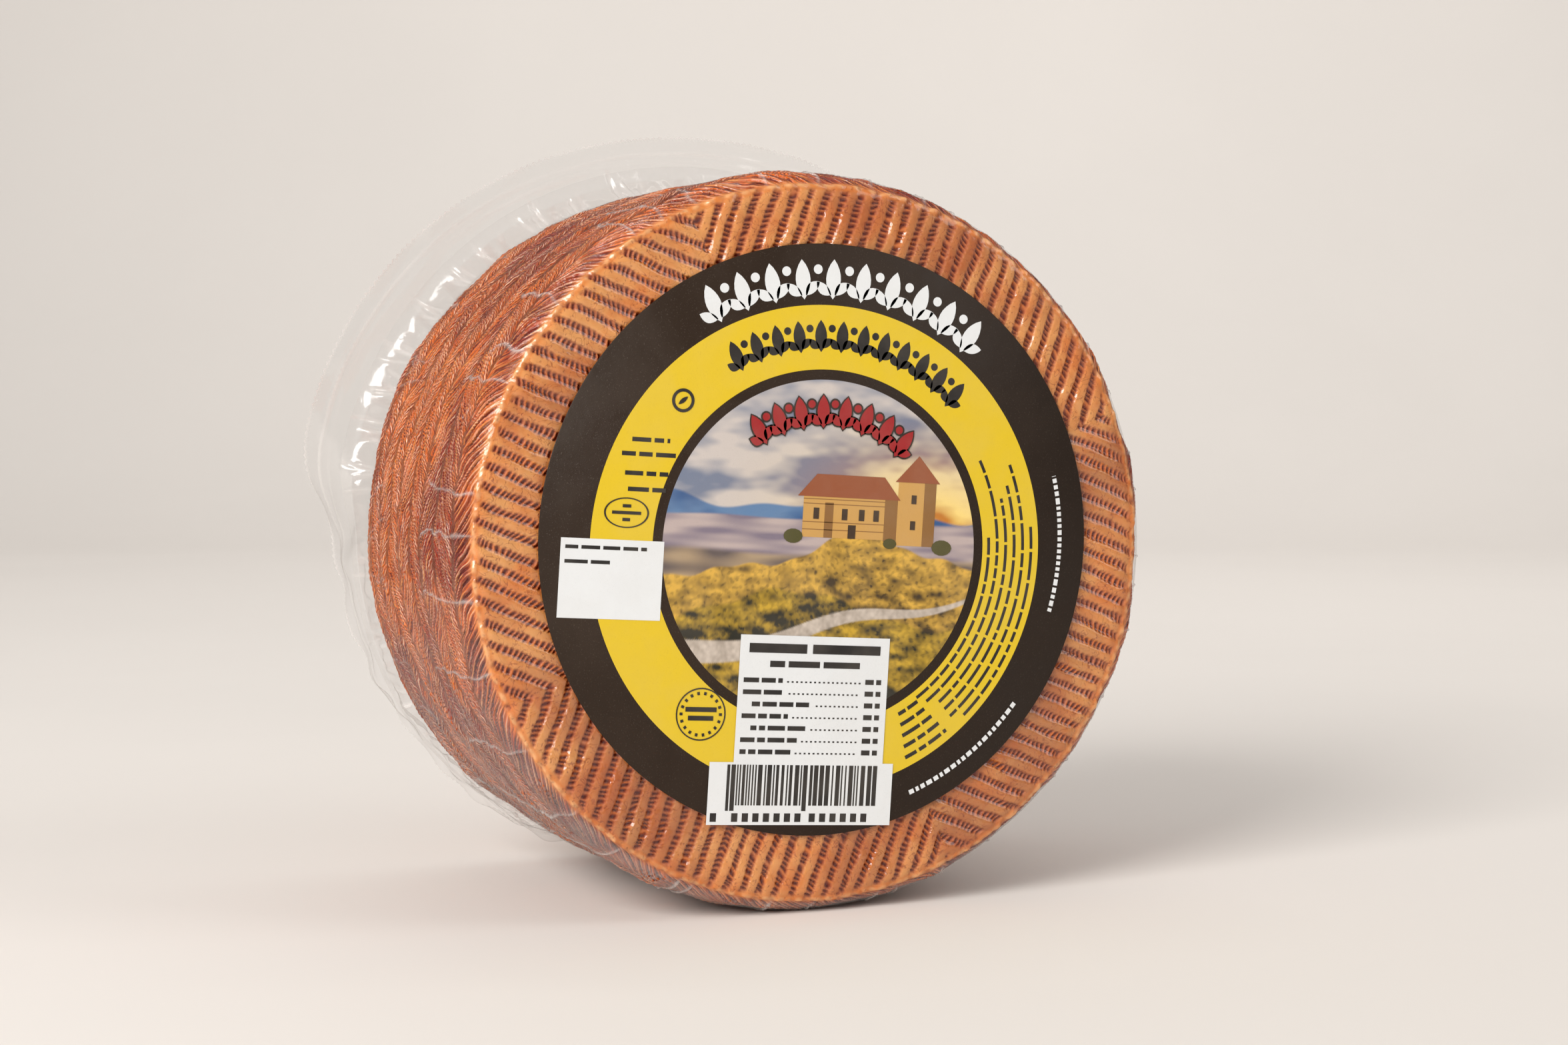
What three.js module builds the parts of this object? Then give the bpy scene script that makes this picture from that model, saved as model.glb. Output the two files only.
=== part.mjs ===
// A whole pressed goat cheese in its clear vacuum pack, standing on its edge.
//
// Millimetres, +Z up. z = 0 is the surface that the wheel stands on, and the origin is the middle
// of the flat that its own weight presses on its side. The wheel's axis lies along Y. The front
// face, with the round label, looks towards -Y, and the flange of the pack is behind the wheel.
//
// The pack is two sheets. The formed film covers the front face and the side like a cup, and the
// backing film covers the back face. Beyond the wheel's back edge they lie on each other as the
// flange, which stands out round the upper half and is bent back round the lower half, down to the
// stretch that is pressed flat on the surface behind the wheel.
import * as THREE from 'three';

// ---- driving dimensions ----
const PACK_RADIUS = 96.5; // outside of the film on the wheel's side
const PACK_DEPTH = 108; // from the film on the front face to the film on the back face
const FILM = 0.4; // thickness of each film
const GAP = 0.3; // clearance between two pieces that touch
const SEGMENTS = 80; // steps round the wheel's axis
const FLAT_HALF_ANGLE = 9; // degrees each way from straight down that are pressed flat

const LABEL_RADIUS = 75.8;
const LABEL_THICKNESS = 0.3;
const LABEL_RISE = 1.0; // height of the label's centre above the wheel's axis

const FRONT_FLAT_RADIUS = 88.6; // where the front face starts to round over
// crest and shoulder of the front edge; deeper is the share of an inset that moves them back
const FRONT_CREST = { radius: 91.7, depth: 0.9, deeper: 0.8 };
const FRONT_SHOULDER = { radius: 94.8, depth: 4.8, deeper: 0.4 };
const SIDE_START = 11; // depth where the side reaches its full radius
const BACK_ROUND_START = 90; // depth where the side starts to round over to the back
const BACK_FLAT_RADIUS = 83; // radius of the flat part of the back face
const BACK_FILM_LEAVES = 32; // degrees round the back edge where the backing film turns outwards
const BACK_EDGE_STEPS = { cheese: 5, film: 3 }; // flats that the rounded back edge is made of

const FLANGE_START = 91; // depth where the film leaves the side
const FLANGE_TURN_RADIUS = 8; // radius of the film's outward turn into the flange
const FLANGE_LENGTH = 21.7; // mean length of the sheet beyond the side
const FLANGE_LOBE = 1.5; // how much longer the sheet is at its three rounded corners
const FLANGE_LOBE_ANGLE = 150; // where one of those corners stands, in degrees
const FLANGE_STANDING_TURN = 90; // outward turn of the standing flange, in degrees
const FLANGE_BENT_TURN = 12; // outward turn of the flange that is bent back, in degrees
const FLANGE_BEND = { from: 70, to: 91 }; // degrees from the top over which it bends back
const FLANGE_FOOT = { from: 118, to: 160 }; // degrees from the top over which it goes flat
const WELD_START = 8.4; // sheet length from the side to where the two films meet
const FLANGE_STEPS = [12.6, 17]; // further stations along the sheet, before its edge

// ---- what follows from them ----
const RAD = Math.PI / 180;
const SAME_DEPTH = 1e-6; // depths closer than this count as one
const AXIS_HEIGHT = PACK_RADIUS * Math.cos(FLAT_HALF_ANGLE * RAD);
const FRONT_Y = -PACK_DEPTH / 2;
const CHEESE_INSET = FILM + GAP; // from the outside of the pack to the cheese

/** Goes smoothly from 0 to 1 while x goes from low to high. */
function smoothStep(x, low, high) {
  const t = Math.min(Math.max((x - low) / (high - low), 0), 1);
  return t * t * (3 - 2 * t);
}

/** Degrees from straight up to an angle that is counted from +X towards +Z. */
function degreesFromTop(angle) {
  const turn = (((angle / RAD - 90) % 360) + 360) % 360;
  return Math.min(turn, 360 - turn);
}

/** How far the sheet turns outwards from the side at this angle, in radians. */
function flangeTurn(angle) {
  const away = degreesFromTop(angle);
  const bent = smoothStep(away, FLANGE_BEND.from, FLANGE_BEND.to);
  const foot = smoothStep(away, FLANGE_FOOT.from, FLANGE_FOOT.to);
  const lower = FLANGE_BENT_TURN * (1 - foot);
  return (FLANGE_STANDING_TURN + (lower - FLANGE_STANDING_TURN) * bent) * RAD;
}

/** Length of the sheet from the side to its edge at this angle. */
function flangeLength(angle) {
  return FLANGE_LENGTH + FLANGE_LOBE * Math.cos(3 * (angle - FLANGE_LOBE_ANGLE * RAD));
}

/**
 * One point [radius, depth, lift] of the flange. The sheet leaves the side straight back, turns
 * outwards on an arc, and goes on straight. along is the length from the side, and inward is the
 * distance from the outside of the formed film, measured towards the wheel.
 */
function flangePoint(angle, along, inward) {
  const turn = flangeTurn(angle);
  const turned = Math.min(along / FLANGE_TURN_RADIUS, turn);
  const straight = along - turned * FLANGE_TURN_RADIUS;
  const radius = PACK_RADIUS + FLANGE_TURN_RADIUS * (1 - Math.cos(turned)) + straight * Math.sin(turned);
  const depth = FLANGE_START + FLANGE_TURN_RADIUS * Math.sin(turned) + straight * Math.cos(turned);
  return [radius - inward * Math.cos(turned), depth + inward * Math.sin(turned), inward];
}

/** True where an outline runs backwards along the pack, or outwards at one depth. */
function runsBack([radius, depth], [nextRadius, nextDepth]) {
  const deeper = nextDepth - depth;
  return Math.abs(deeper) > SAME_DEPTH ? deeper > 0 : nextRadius > radius;
}

/**
 * A closed body round the wheel's axis. outlineAt(angle) lists its outline as [radius, depth, lift]
 * points: the first and last lie on the axis, and lift is how high above the surface that point
 * stays where the pack is pressed flat. The outline runs so that the body is on its inner side.
 * Each four-cornered patch is split along the same diagonal on both sides of every sheet, so that
 * sheets that lie on each other keep their clearance.
 */
function roundBody(outlineAt) {
  const positions = [];
  const faces = [];
  const count = outlineAt(0).length;
  const rim = count - 2; // points of the outline that are off the axis
  const [first, last] = [outlineAt(0)[0], outlineAt(0)[count - 1]];
  positions.push(0, FRONT_Y + first[1], AXIS_HEIGHT);
  positions.push(0, FRONT_Y + last[1], AXIS_HEIGHT);
  for (let step = 0; step < SEGMENTS; step += 1) {
    const angle = (step / SEGMENTS) * 2 * Math.PI;
    for (const [radius, depth, lift] of outlineAt(angle).slice(1, -1)) {
      const height = AXIS_HEIGHT + radius * Math.sin(angle);
      positions.push(radius * Math.cos(angle), FRONT_Y + depth, Math.max(height, lift));
    }
  }
  const at = (step, point) => 2 + (step % SEGMENTS) * rim + point;
  for (let step = 0; step < SEGMENTS; step += 1) {
    const outline = outlineAt((step / SEGMENTS) * 2 * Math.PI);
    faces.push(0, at(step, 0), at(step + 1, 0));
    for (let point = 0; point < rim - 1; point += 1) {
      const [near, far] = [at(step, point), at(step, point + 1)];
      const [nextNear, nextFar] = [at(step + 1, point), at(step + 1, point + 1)];
      if (runsBack(outline[point + 1], outline[point + 2])) {
        faces.push(near, far, nextFar, near, nextFar, nextNear);
      } else {
        faces.push(near, far, nextNear, far, nextFar, nextNear);
      }
    }
    faces.push(at(step, rim - 1), 1, at(step + 1, rim - 1));
  }
  const geometry = new THREE.BufferGeometry();
  geometry.setAttribute('position', new THREE.Float32BufferAttribute(positions, 3));
  geometry.setIndex(faces);
  geometry.computeVertexNormals();
  return geometry;
}

/** Front face, edge and side, as [radius, depth, lift], set in from the outside of the pack. */
function frontAndSide(inset) {
  const corner = ({ radius, depth, deeper }) => [radius - inset, depth + inset * deeper, inset];
  return [
    [0, inset, inset],
    [FRONT_FLAT_RADIUS - inset, inset, inset],
    corner(FRONT_CREST),
    corner(FRONT_SHOULDER),
    [PACK_RADIUS - inset, SIDE_START, inset],
    [PACK_RADIUS - inset, FLANGE_START, inset],
  ];
}

/** The rounded back edge, from the side to the axis, set in from the outside of the pack. */
function backEdge(inset, fromAngle, steps) {
  const points = [];
  const rise = PACK_RADIUS - BACK_FLAT_RADIUS - inset;
  const run = PACK_DEPTH - BACK_ROUND_START - inset;
  for (let step = 0; step <= steps; step += 1) {
    const round = (fromAngle + ((90 - fromAngle) * step) / steps) * RAD;
    const radius = BACK_FLAT_RADIUS + rise * Math.cos(round);
    points.push([radius, BACK_ROUND_START + run * Math.sin(round), inset]);
  }
  points.push([0, PACK_DEPTH - inset, inset]);
  return points;
}

/** The cheese: flat ridged faces, a crest at the front edge, and a soft round back edge. */
function cheeseOutline() {
  return [...frontAndSide(CHEESE_INSET).slice(0, -1), ...backEdge(CHEESE_INSET, 0, BACK_EDGE_STEPS.cheese)];
}

/** The formed film: a cup over the front face and side that runs out into the flange. */
function formedFilmOutline(angle) {
  const edge = flangeLength(angle);
  const stations = [WELD_START / 2, WELD_START, ...FLANGE_STEPS, edge];
  const outside = stations.map((along) => flangePoint(angle, along, 0));
  const inside = stations.map((along) => flangePoint(angle, along, FILM)).reverse();
  return [...frontAndSide(0), ...outside, ...inside, ...frontAndSide(FILM).reverse()];
}

/** The backing film: over the back face and edge, then along the inside of the flange. */
function backingFilmOutline(angle) {
  const edge = flangeLength(angle);
  const stations = [WELD_START, ...FLANGE_STEPS, edge];
  const near = FILM + GAP;
  const outside = stations.map((along) => flangePoint(angle, along, near));
  const inside = stations.map((along) => flangePoint(angle, along, near + FILM)).reverse();
  const overCheese = backEdge(FILM, BACK_FILM_LEAVES, BACK_EDGE_STEPS.film).reverse();
  const behind = backEdge(0, BACK_FILM_LEAVES, BACK_EDGE_STEPS.film);
  const lifted = (points) => points.map(([radius, depth, inset]) => [radius, depth, 2 * near - inset]);
  return [...lifted(overCheese), ...outside, ...inside, ...lifted(behind)];
}

/** The paper label, a thin disc on the film of the front face. */
function labelGeometry() {
  const disc = new THREE.CylinderGeometry(LABEL_RADIUS, LABEL_RADIUS, LABEL_THICKNESS, SEGMENTS);
  disc.translate(0, FRONT_Y - GAP - LABEL_THICKNESS / 2, 0);
  return disc;
}

function part(name, geometry, material) {
  const mesh = new THREE.Mesh(geometry, new THREE.MeshStandardMaterial(material));
  mesh.name = name;
  return mesh;
}

const CHEESE = { color: 0xc98750, roughness: 0.45, metalness: 0 };
const CLEAR_FILM = { color: 0xf2efec, roughness: 0.12, metalness: 0, transparent: true, opacity: 0.25 };
const PAPER = { color: 0x41342b, roughness: 0.5, metalness: 0 };

const label = part('round_label', labelGeometry(), PAPER);
label.position.set(0, 0, AXIS_HEIGHT + LABEL_RISE);

const packedCheese = new THREE.Group();
packedCheese.add(
  part('cheese_wheel', roundBody(cheeseOutline), CHEESE),
  part('formed_film', roundBody(formedFilmOutline), CLEAR_FILM),
  part('backing_film', roundBody(backingFilmOutline), CLEAR_FILM),
  label,
);

export default packedCheese;
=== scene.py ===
"""The looks of a pressed goat cheese in its clear vacuum pack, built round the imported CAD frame.

The wheel stands on its edge. Shapes are worked out in millimetres from the wheel's axis and go into
the meshes in metres. An angle is counted from +X towards +Z, as seen from the front, and a depth
from the film on the front face towards the back. A relief is how far a surface stands out of the
smooth wheel, along its normal, so grooves are negative.
"""

import bpy
import numpy as np
from bpy.props import FloatProperty, FloatVectorProperty, IntProperty, PointerProperty
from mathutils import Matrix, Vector


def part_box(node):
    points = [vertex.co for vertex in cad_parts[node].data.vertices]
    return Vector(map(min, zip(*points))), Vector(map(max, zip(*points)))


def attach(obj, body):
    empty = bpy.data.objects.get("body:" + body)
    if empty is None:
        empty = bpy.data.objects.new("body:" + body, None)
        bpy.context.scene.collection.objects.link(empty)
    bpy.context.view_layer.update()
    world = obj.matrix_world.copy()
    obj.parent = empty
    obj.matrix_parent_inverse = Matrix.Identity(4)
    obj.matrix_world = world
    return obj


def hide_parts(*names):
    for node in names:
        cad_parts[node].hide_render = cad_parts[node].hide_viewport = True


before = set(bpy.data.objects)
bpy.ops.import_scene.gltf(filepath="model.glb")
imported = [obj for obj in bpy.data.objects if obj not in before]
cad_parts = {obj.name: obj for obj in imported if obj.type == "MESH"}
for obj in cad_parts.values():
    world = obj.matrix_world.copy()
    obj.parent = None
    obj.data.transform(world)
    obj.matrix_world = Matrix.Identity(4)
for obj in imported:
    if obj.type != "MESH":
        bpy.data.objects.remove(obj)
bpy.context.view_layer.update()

bl_info = {
    "name": "Packed Cheese Wheel",
    "version": (1, 0, 0),
    "blender": (4, 5, 0),
    "location": "3D View > Sidebar > Cheese Wheel",
    "description": "Builds a pressed cheese wheel in its clear vacuum pack, with its paper label",
    "category": "Object",
}

# ---- places taken from the frame, in millimetres ----
MM = 0.001
CHEESE_LOW, CHEESE_HIGH = (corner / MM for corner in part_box("cheese_wheel"))
FILM_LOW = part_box("formed_film")[0] / MM
LABEL_LOW, LABEL_HIGH = (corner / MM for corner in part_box("round_label"))
CHEESE_INSET = CHEESE_LOW.y - FILM_LOW.y  # from the outside of the pack to the cheese
FRONT_Y = FILM_LOW.y
AXIS_HEIGHT = CHEESE_HIGH.z - (CHEESE_HIGH.x - CHEESE_LOW.x) / 2
LABEL_HEIGHT = (LABEL_LOW.z + LABEL_HIGH.z) / 2

# ---- the wheel's outline ----
PACK_RADIUS = (CHEESE_HIGH.x - CHEESE_LOW.x) / 2 + CHEESE_INSET
PACK_DEPTH = CHEESE_HIGH.y - CHEESE_LOW.y + 2 * CHEESE_INSET
FACE_RADIUS = 88.6  # where the flat front face ends
FACE_START = 74.0  # the faces are worked out from here, and are plain under the label
CORNER_DEPTH = 11.0  # the front edge is a quarter ellipse this deep
BACK_ROUND_START = 90.0
BACK_FLAT_RADIUS = 83.0
BACK_SPLIT_RADIUS = 60.0
BACK_HOLE = 0.5  # radius of the last row of points round the middle of the back
TUCK = 4.0  # how far the hidden caps of the back lie below its surface
FLANGE_START = 91.0
RIND_INSET = 0.45  # from the outside of the pack to the rind's high parts
RIND_LIFT = 0.55  # height of the rind where the wheel is pressed flat
FILM_LIFT = 0.02
FILM_GAP = 0.5  # from the outside of the formed film to the backing film

# ---- mesh steps ----
COLUMNS = 1440
COARSE_COLUMNS = 720
SEAM = -np.pi / 2  # grids start and end at the bottom

# ---- grooves of the pressed faces ----
PATTERN_CENTRE = (1.8, -1.8)
SIDE_GROOVE_NORMAL = 67.5  # across the grooves of the left and right quarters, in degrees
TOP_GROOVE_NORMAL = -21.0  # across the grooves of the top and bottom quarters
GROOVE_END = 90.5  # radius where the grooves end
DOT_RADIUS = 92.2  # small pits outside the ends of the grooves
BACK_PATTERN_RADIUS = 80.0  # the back has the front's pattern at this size instead of FACE_RADIUS
CREST_RADIUS = 91.9  # bead along the front edge
CREST_GROOVE_RADIUS = 93.2  # shallow groove outside the bead
LEFT_PHASE, RIGHT_PHASE, TOP_PHASE, BOTTOM_PHASE = 0.0, 0.17, 0.70, 0.03  # share of a pitch

# ---- plaited rows of the side: depths where one row ends and the next starts ----
ROW_EDGES = np.array([-2.5, 10.5, 24.5, 37.5, 49.0, 61.0, 71.5, 81.5, 92.0, 102.5, 113.0])
STROKES = 176  # strokes in one row

# ---- flange ----
TURN_RADIUS = 8.0
SHEET_LENGTH, SHEET_LOBE, LOBE_ANGLE = 21.7, 1.5, 150.0
STANDING_TURN, BENT_TURN = 90.0, 12.0
BEND_FROM, BEND_TO = 70.0, 91.0  # degrees from the top over which the flange bends back
FOOT_FROM, FOOT_TO = 118.0, 160.0  # degrees from the top over which it goes flat
WELD_START, WELD_OVERLAP = 8.4, 3.5  # along the sheet: the weld, and the backing film on it
CRUMPLE = 0.55  # height of the crumples where the flange is bent back
TEETH, PINKING = 360, 0.35  # number and height of the edge's fine teeth
EDGE_LINES = (4.6, 7.2)  # from the sheet's edge to its two welded lines

# ---- film ----
FILM_SAG = 0.65  # how far the film of the face sinks into a groove
FILM_CLING = 0.5  # how far the film of the side can sink into a pocket
CREASE_HEIGHT = 0.45
# Painted light over the lower side of the wheel: whiteness added to the film there.
LOWER_SIDE_PAINTED_LIGHT, PAINTED_LIGHT_FROM, PAINTED_LIGHT_TO = 0.34, 88, 140  # whiteness, and its degrees from the top
# Creases of the film on the side: angle in degrees, and the depth where the crease ends.
CREASES = [
    (138.9, 27), (147.8, 18), (153.3, 28), (170.9, 34), (177.5, 37), (187.1, 38),
    (199.3, 44), (211.7, 48), (224.7, 61), (234.1, 70),
]
# Star-shaped pleats at the root of the flange, in degrees.
PLEATS = [101, 112, 118, 127, 133, 141, 149, 156, 163, 171, 186, 197, 209, 219, 228, 238]

# ---- label, from the middle of its paper ----
PAPER_THICKNESS, PAPER_ROUNDING = 0.2, (0.12, 0.06)  # across and along the paper's edge
LABEL_FRONT = LABEL_HIGH.y - PAPER_THICKNESS - 0.02  # front of the label paper
PRINT_STEP = 0.03  # each level of print is this far above the one below it
PRINT_TURN = -3.7  # degrees that the whole print is turned
PRINT_CENTRE = (-0.2, -2.1)  # middle of the yellow ring and the picture
YELLOW_RING = (45.9, 62.3)  # its two radii
PICTURE_RADIUS, PICTURE_LEVEL = 43.3, 2
FARM_PLACE, FARM_SIZE = (-3.4, -1.2), 1.2
TABLE_LEFT, TABLE_TOP, TABLE_STEP = -19.6, -36.6, 3.05
BARS_LEFT, BARS_RIGHT = -22.6, 19.6

# ---- stage, in metres ----
CAMERA_PLACE = (-0.2660, -0.6736, 0.1360)
CAMERA_VIEW = (0.3807, 0.9233, -0.0518)
SENSOR_WIDTH = 36.0  # in millimetres
COVE_RADIUS, COVE_HEIGHT = 0.9, 3.0  # the floor's bend into the backdrop, and the backdrop's top
KEY_PLACE, KEY_SIZE, KEY_COLOUR = (-1.30, -0.82, 0.93), (0.85, 0.85), (1.0, 0.98, 0.95)
FILL_PLACE, FILL_SIZE, FILL_COLOUR = (0.95, -0.75, 0.95), (0.7, 0.7), (1.0, 0.97, 0.94)
BACK_SIZE, BACK_COLOUR = (1.6, 0.8), (1.0, 0.975, 0.95)
ROOM_COLOUR = (0.97, 0.95, 0.93, 1.0)


def srgb(red, green, blue):
    """A linear colour from 0-255 screen values."""
    value = np.array([red, green, blue]) / 255
    linear = np.where(value <= 0.04045, value / 12.92, ((value + 0.055) / 1.055) ** 2.4)
    return tuple(float(part) for part in linear)


# ---------------------------------------------------------------- arithmetic of shapes


def smooth_step(x, low, high):
    """0 below low, 1 above high, and 3t^2 - 2t^3 between."""
    t = np.clip((x - low) / (high - low), 0, 1)
    return t * t * (3 - 2 * t)


def bell(x, centre, width):
    """exp(-d^2), where d is the distance from centre in widths."""
    return np.exp(-(((x - centre) / width) ** 2))


def scatter(*numbers):
    """A random value from 0 to 1 for each set of whole numbers: the fraction of a large sine."""
    total = sum(number * factor for number, factor in zip(numbers, (12.9898, 78.233, 37.719)))
    value = np.sin(total) * 43758.5453
    return value - np.floor(value)


def ripples(points, size, seed, count=12):
    """A smooth random field with a spread of about 1: the sum of count plane waves, each with a
    length near size and a random direction and phase."""
    rng = np.random.default_rng(seed)
    directions = rng.normal(size=(count, points.shape[-1]))
    directions /= np.linalg.norm(directions, axis=1, keepdims=True)
    lengths = size * rng.uniform(0.7, 1.6, count)
    phases = rng.uniform(0, 2 * np.pi, count)
    waves = np.sin(points @ (directions / lengths[:, None]).T * 2 * np.pi + phases)
    return waves.sum(-1) / np.sqrt(count / 2)


def from_top(angle):
    """Degrees between an angle and straight up."""
    turn = (np.degrees(angle) - 90) % 360
    return np.minimum(turn, 360 - turn)


def apart(angle, degrees):
    """Signed difference between an angle and a number of degrees, in degrees from -180 to 180."""
    return (np.degrees(angle) - degrees + 180) % 360 - 180


def round_the_side(angle, degrees):
    """Signed distance round the side from a number of degrees to an angle."""
    return np.radians(apart(angle, degrees)) * PACK_RADIUS


def field_points(radius, depth, angle):
    """Points for the random fields, counted from the middle of the front face."""
    x, z = radius * np.cos(angle), radius * np.sin(angle)
    return np.stack(np.broadcast_arrays(x, depth, z), axis=-1)


def round_points(radius, depth, angle, lift):
    """Points of the object at a radius, a depth and an angle, pressed flat at height lift."""
    x, z = radius * np.cos(angle), np.maximum(AXIS_HEIGHT + radius * np.sin(angle), lift)
    return np.stack(np.broadcast_arrays(x, FRONT_Y + depth, z), axis=-1)


def past_label(radius):
    """0 under the label and 1 outside it."""
    return smooth_step(radius, FACE_START, FACE_START + 1.2)


# ---------------------------------------------------------------- the smooth wheel


def joined(*zones):
    """Zones of an outline, each (radius, depth, outward radius, outward depth), as four arrays."""
    wide = [np.broadcast_arrays(*zone) for zone in zones]
    return np.concatenate([np.stack(zone).astype(float) for zone in wide], axis=1)


def face_zone(start, end, steps):
    """The flat front face between two radii."""
    return np.linspace(start, end, steps, endpoint=False), 0.0, 0.0, -1.0


def corner_zone(first, last, steps):
    """The front edge, a quarter ellipse from the face, at 0 degrees, to the side, at 90."""
    turn = np.radians(np.linspace(first, last, steps, endpoint=False))
    wide, deep = PACK_RADIUS - FACE_RADIUS, CORNER_DEPTH
    length = np.hypot(deep * np.sin(turn), wide * np.cos(turn))
    radius, depth = FACE_RADIUS + wide * np.sin(turn), deep * (1 - np.cos(turn))
    return radius, depth, deep * np.sin(turn) / length, -wide * np.cos(turn) / length


def side_zone(start, end, steps):
    """The straight side between two depths."""
    return PACK_RADIUS, np.linspace(start, end, steps, endpoint=False), 1.0, 0.0


def back_edge_zone(first, last, steps):
    """The back edge, a quarter ellipse from the side, at 0 degrees, to the back face, at 90."""
    turn = np.radians(np.linspace(first, last, steps, endpoint=False))
    wide, deep = PACK_RADIUS - BACK_FLAT_RADIUS, PACK_DEPTH - BACK_ROUND_START
    length = np.hypot(deep * np.cos(turn), wide * np.sin(turn))
    radius, depth = BACK_FLAT_RADIUS + wide * np.cos(turn), BACK_ROUND_START + deep * np.sin(turn)
    return radius, depth, deep * np.cos(turn) / length, wide * np.sin(turn) / length


def back_zone(start, end, steps):
    """The flat back face between two radii, the second one included."""
    return np.linspace(start, end, steps), PACK_DEPTH, 0.0, 1.0


def angles(columns):
    """Angles of a grid's columns, once round the wheel from the bottom."""
    return SEAM + np.arange(columns) / columns * 2 * np.pi


def slump(radius, depth, angle):
    """How far the handled wheel is out of round: flatter at the upper right of its side, and fuller
    at the lower right of its front edge."""
    side = smooth_step(depth, 1.0, 14.0)
    flat = -1.5 * bell(apart(angle, 62), 0, 24) * side
    full = 0.9 * bell(apart(angle, -18), 0, 34) * bell(radius, 93.6, 2.6) * bell(depth, 3.5, 4.0)
    return flat + full


def wheel_points(outline, angle, relief, lift):
    """Points of a surface that stands off the smooth wheel by relief, pressed flat at height lift."""
    radius, depth, out_radius, out_depth = (part[:, None] for part in outline)
    stands = relief + slump(radius, depth, angle)
    return round_points(radius + out_radius * stands, depth + out_depth * stands, angle, lift)


# ---------------------------------------------------------------- the pressed pattern


def face_pattern(x, z, sizes):
    """The mould's pattern on a face, at points counted from the wheel's axis.

    Two families of straight grooves cross the pattern's centre. Each point belongs to the family
    whose middle line is nearer, so the grooves meet in nested chevrons along the two diagonals.
    line counts the grooves, offset is the distance from the nearest groove's middle, and the ribs
    that cross a groove follow the distance along it. Returns the relief, the masks groove and pit,
    the count of the grooves, and the mask of the film that sags into them.
    """
    pitch, cord = sizes.groove_pitch / MM, sizes.cord_pitch / MM
    x, z = x - PATTERN_CENTRE[0], z - PATTERN_CENTRE[1]
    side, top = np.radians(SIDE_GROOVE_NORMAL), np.radians(TOP_GROOVE_NORMAL)
    by_side = x * np.cos(side) + z * np.sin(side)
    by_top = x * np.cos(top) + z * np.sin(top)
    side_phase = np.sign(by_side) * np.where(by_top < 0, LEFT_PHASE, RIGHT_PHASE)
    top_phase = np.sign(by_top) * np.where(by_side > 0, TOP_PHASE, BOTTOM_PHASE)
    in_side = np.abs(by_side) < np.abs(by_top)
    across = np.where(in_side, np.abs(by_side), np.abs(by_top))
    along = np.where(in_side, by_top, by_side)
    own = np.where(in_side, side_phase, top_phase)
    other = np.where(in_side, top_phase, side_phase)
    gap = np.abs(np.abs(by_side) - np.abs(by_top))
    meet = (other - own + 0.5) % 1 - 0.5
    phase = own + meet / 2 * (1 - smooth_step(gap, 0, 12))
    points = np.stack([x, z], axis=-1)
    line = across / pitch - phase + 0.5 + 0.03 * ripples(points, 17, 3)
    number = np.floor(line)
    offset = (line - number - 0.5) * pitch
    chance = scatter(number, in_side * 1.0, np.sign(along))
    radius = np.hypot(x + PATTERN_CENTRE[0], z + PATTERN_CENTRE[1])
    half = 0.93 + 0.10 * ripples(points, 6, 4)
    end = GROOVE_END + 0.9 * chance + 0.3 * ripples(points, 9, 5)
    inside = 1 - smooth_step(radius, end - 0.6, end + 0.6)
    groove = (1 - smooth_step(np.abs(offset), half - 0.34, half + 0.26)) * inside
    lean = 0.28 + 0.25 * (chance - 0.5)
    turns = (along + lean * offset + 0.25 * ripples(points, 5, 6)) / cord + chance
    rib = (0.5 + 0.5 * np.cos(2 * np.pi * turns)) ** 0.75
    pit = groove * (1 - rib)
    dot = bell(radius, DOT_RADIUS, 0.35) * bell(offset, 0, 0.6) * smooth_step(chance, 0.1, 0.6)
    band = (1 - smooth_step(np.abs(offset), 0.6, 2.2)) * -0.12
    relief = -sizes.groove_depth / MM * groove * (0.16 + 0.84 * (1 - rib)) - 0.55 * dot
    relief += band + 0.05 * ripples(points, 4, 7) + 0.07 * ripples(points, 14, 8)
    sag = 1 - smooth_step(np.abs(offset), 0.0, 1.55)
    sag *= 1 - smooth_step(radius, end - 3.2, end - 1.0)
    return relief, np.clip(groove + 0.8 * dot, 0, 1), np.clip(pit + 0.5 * dot, 0, 1), line, sag


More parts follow.
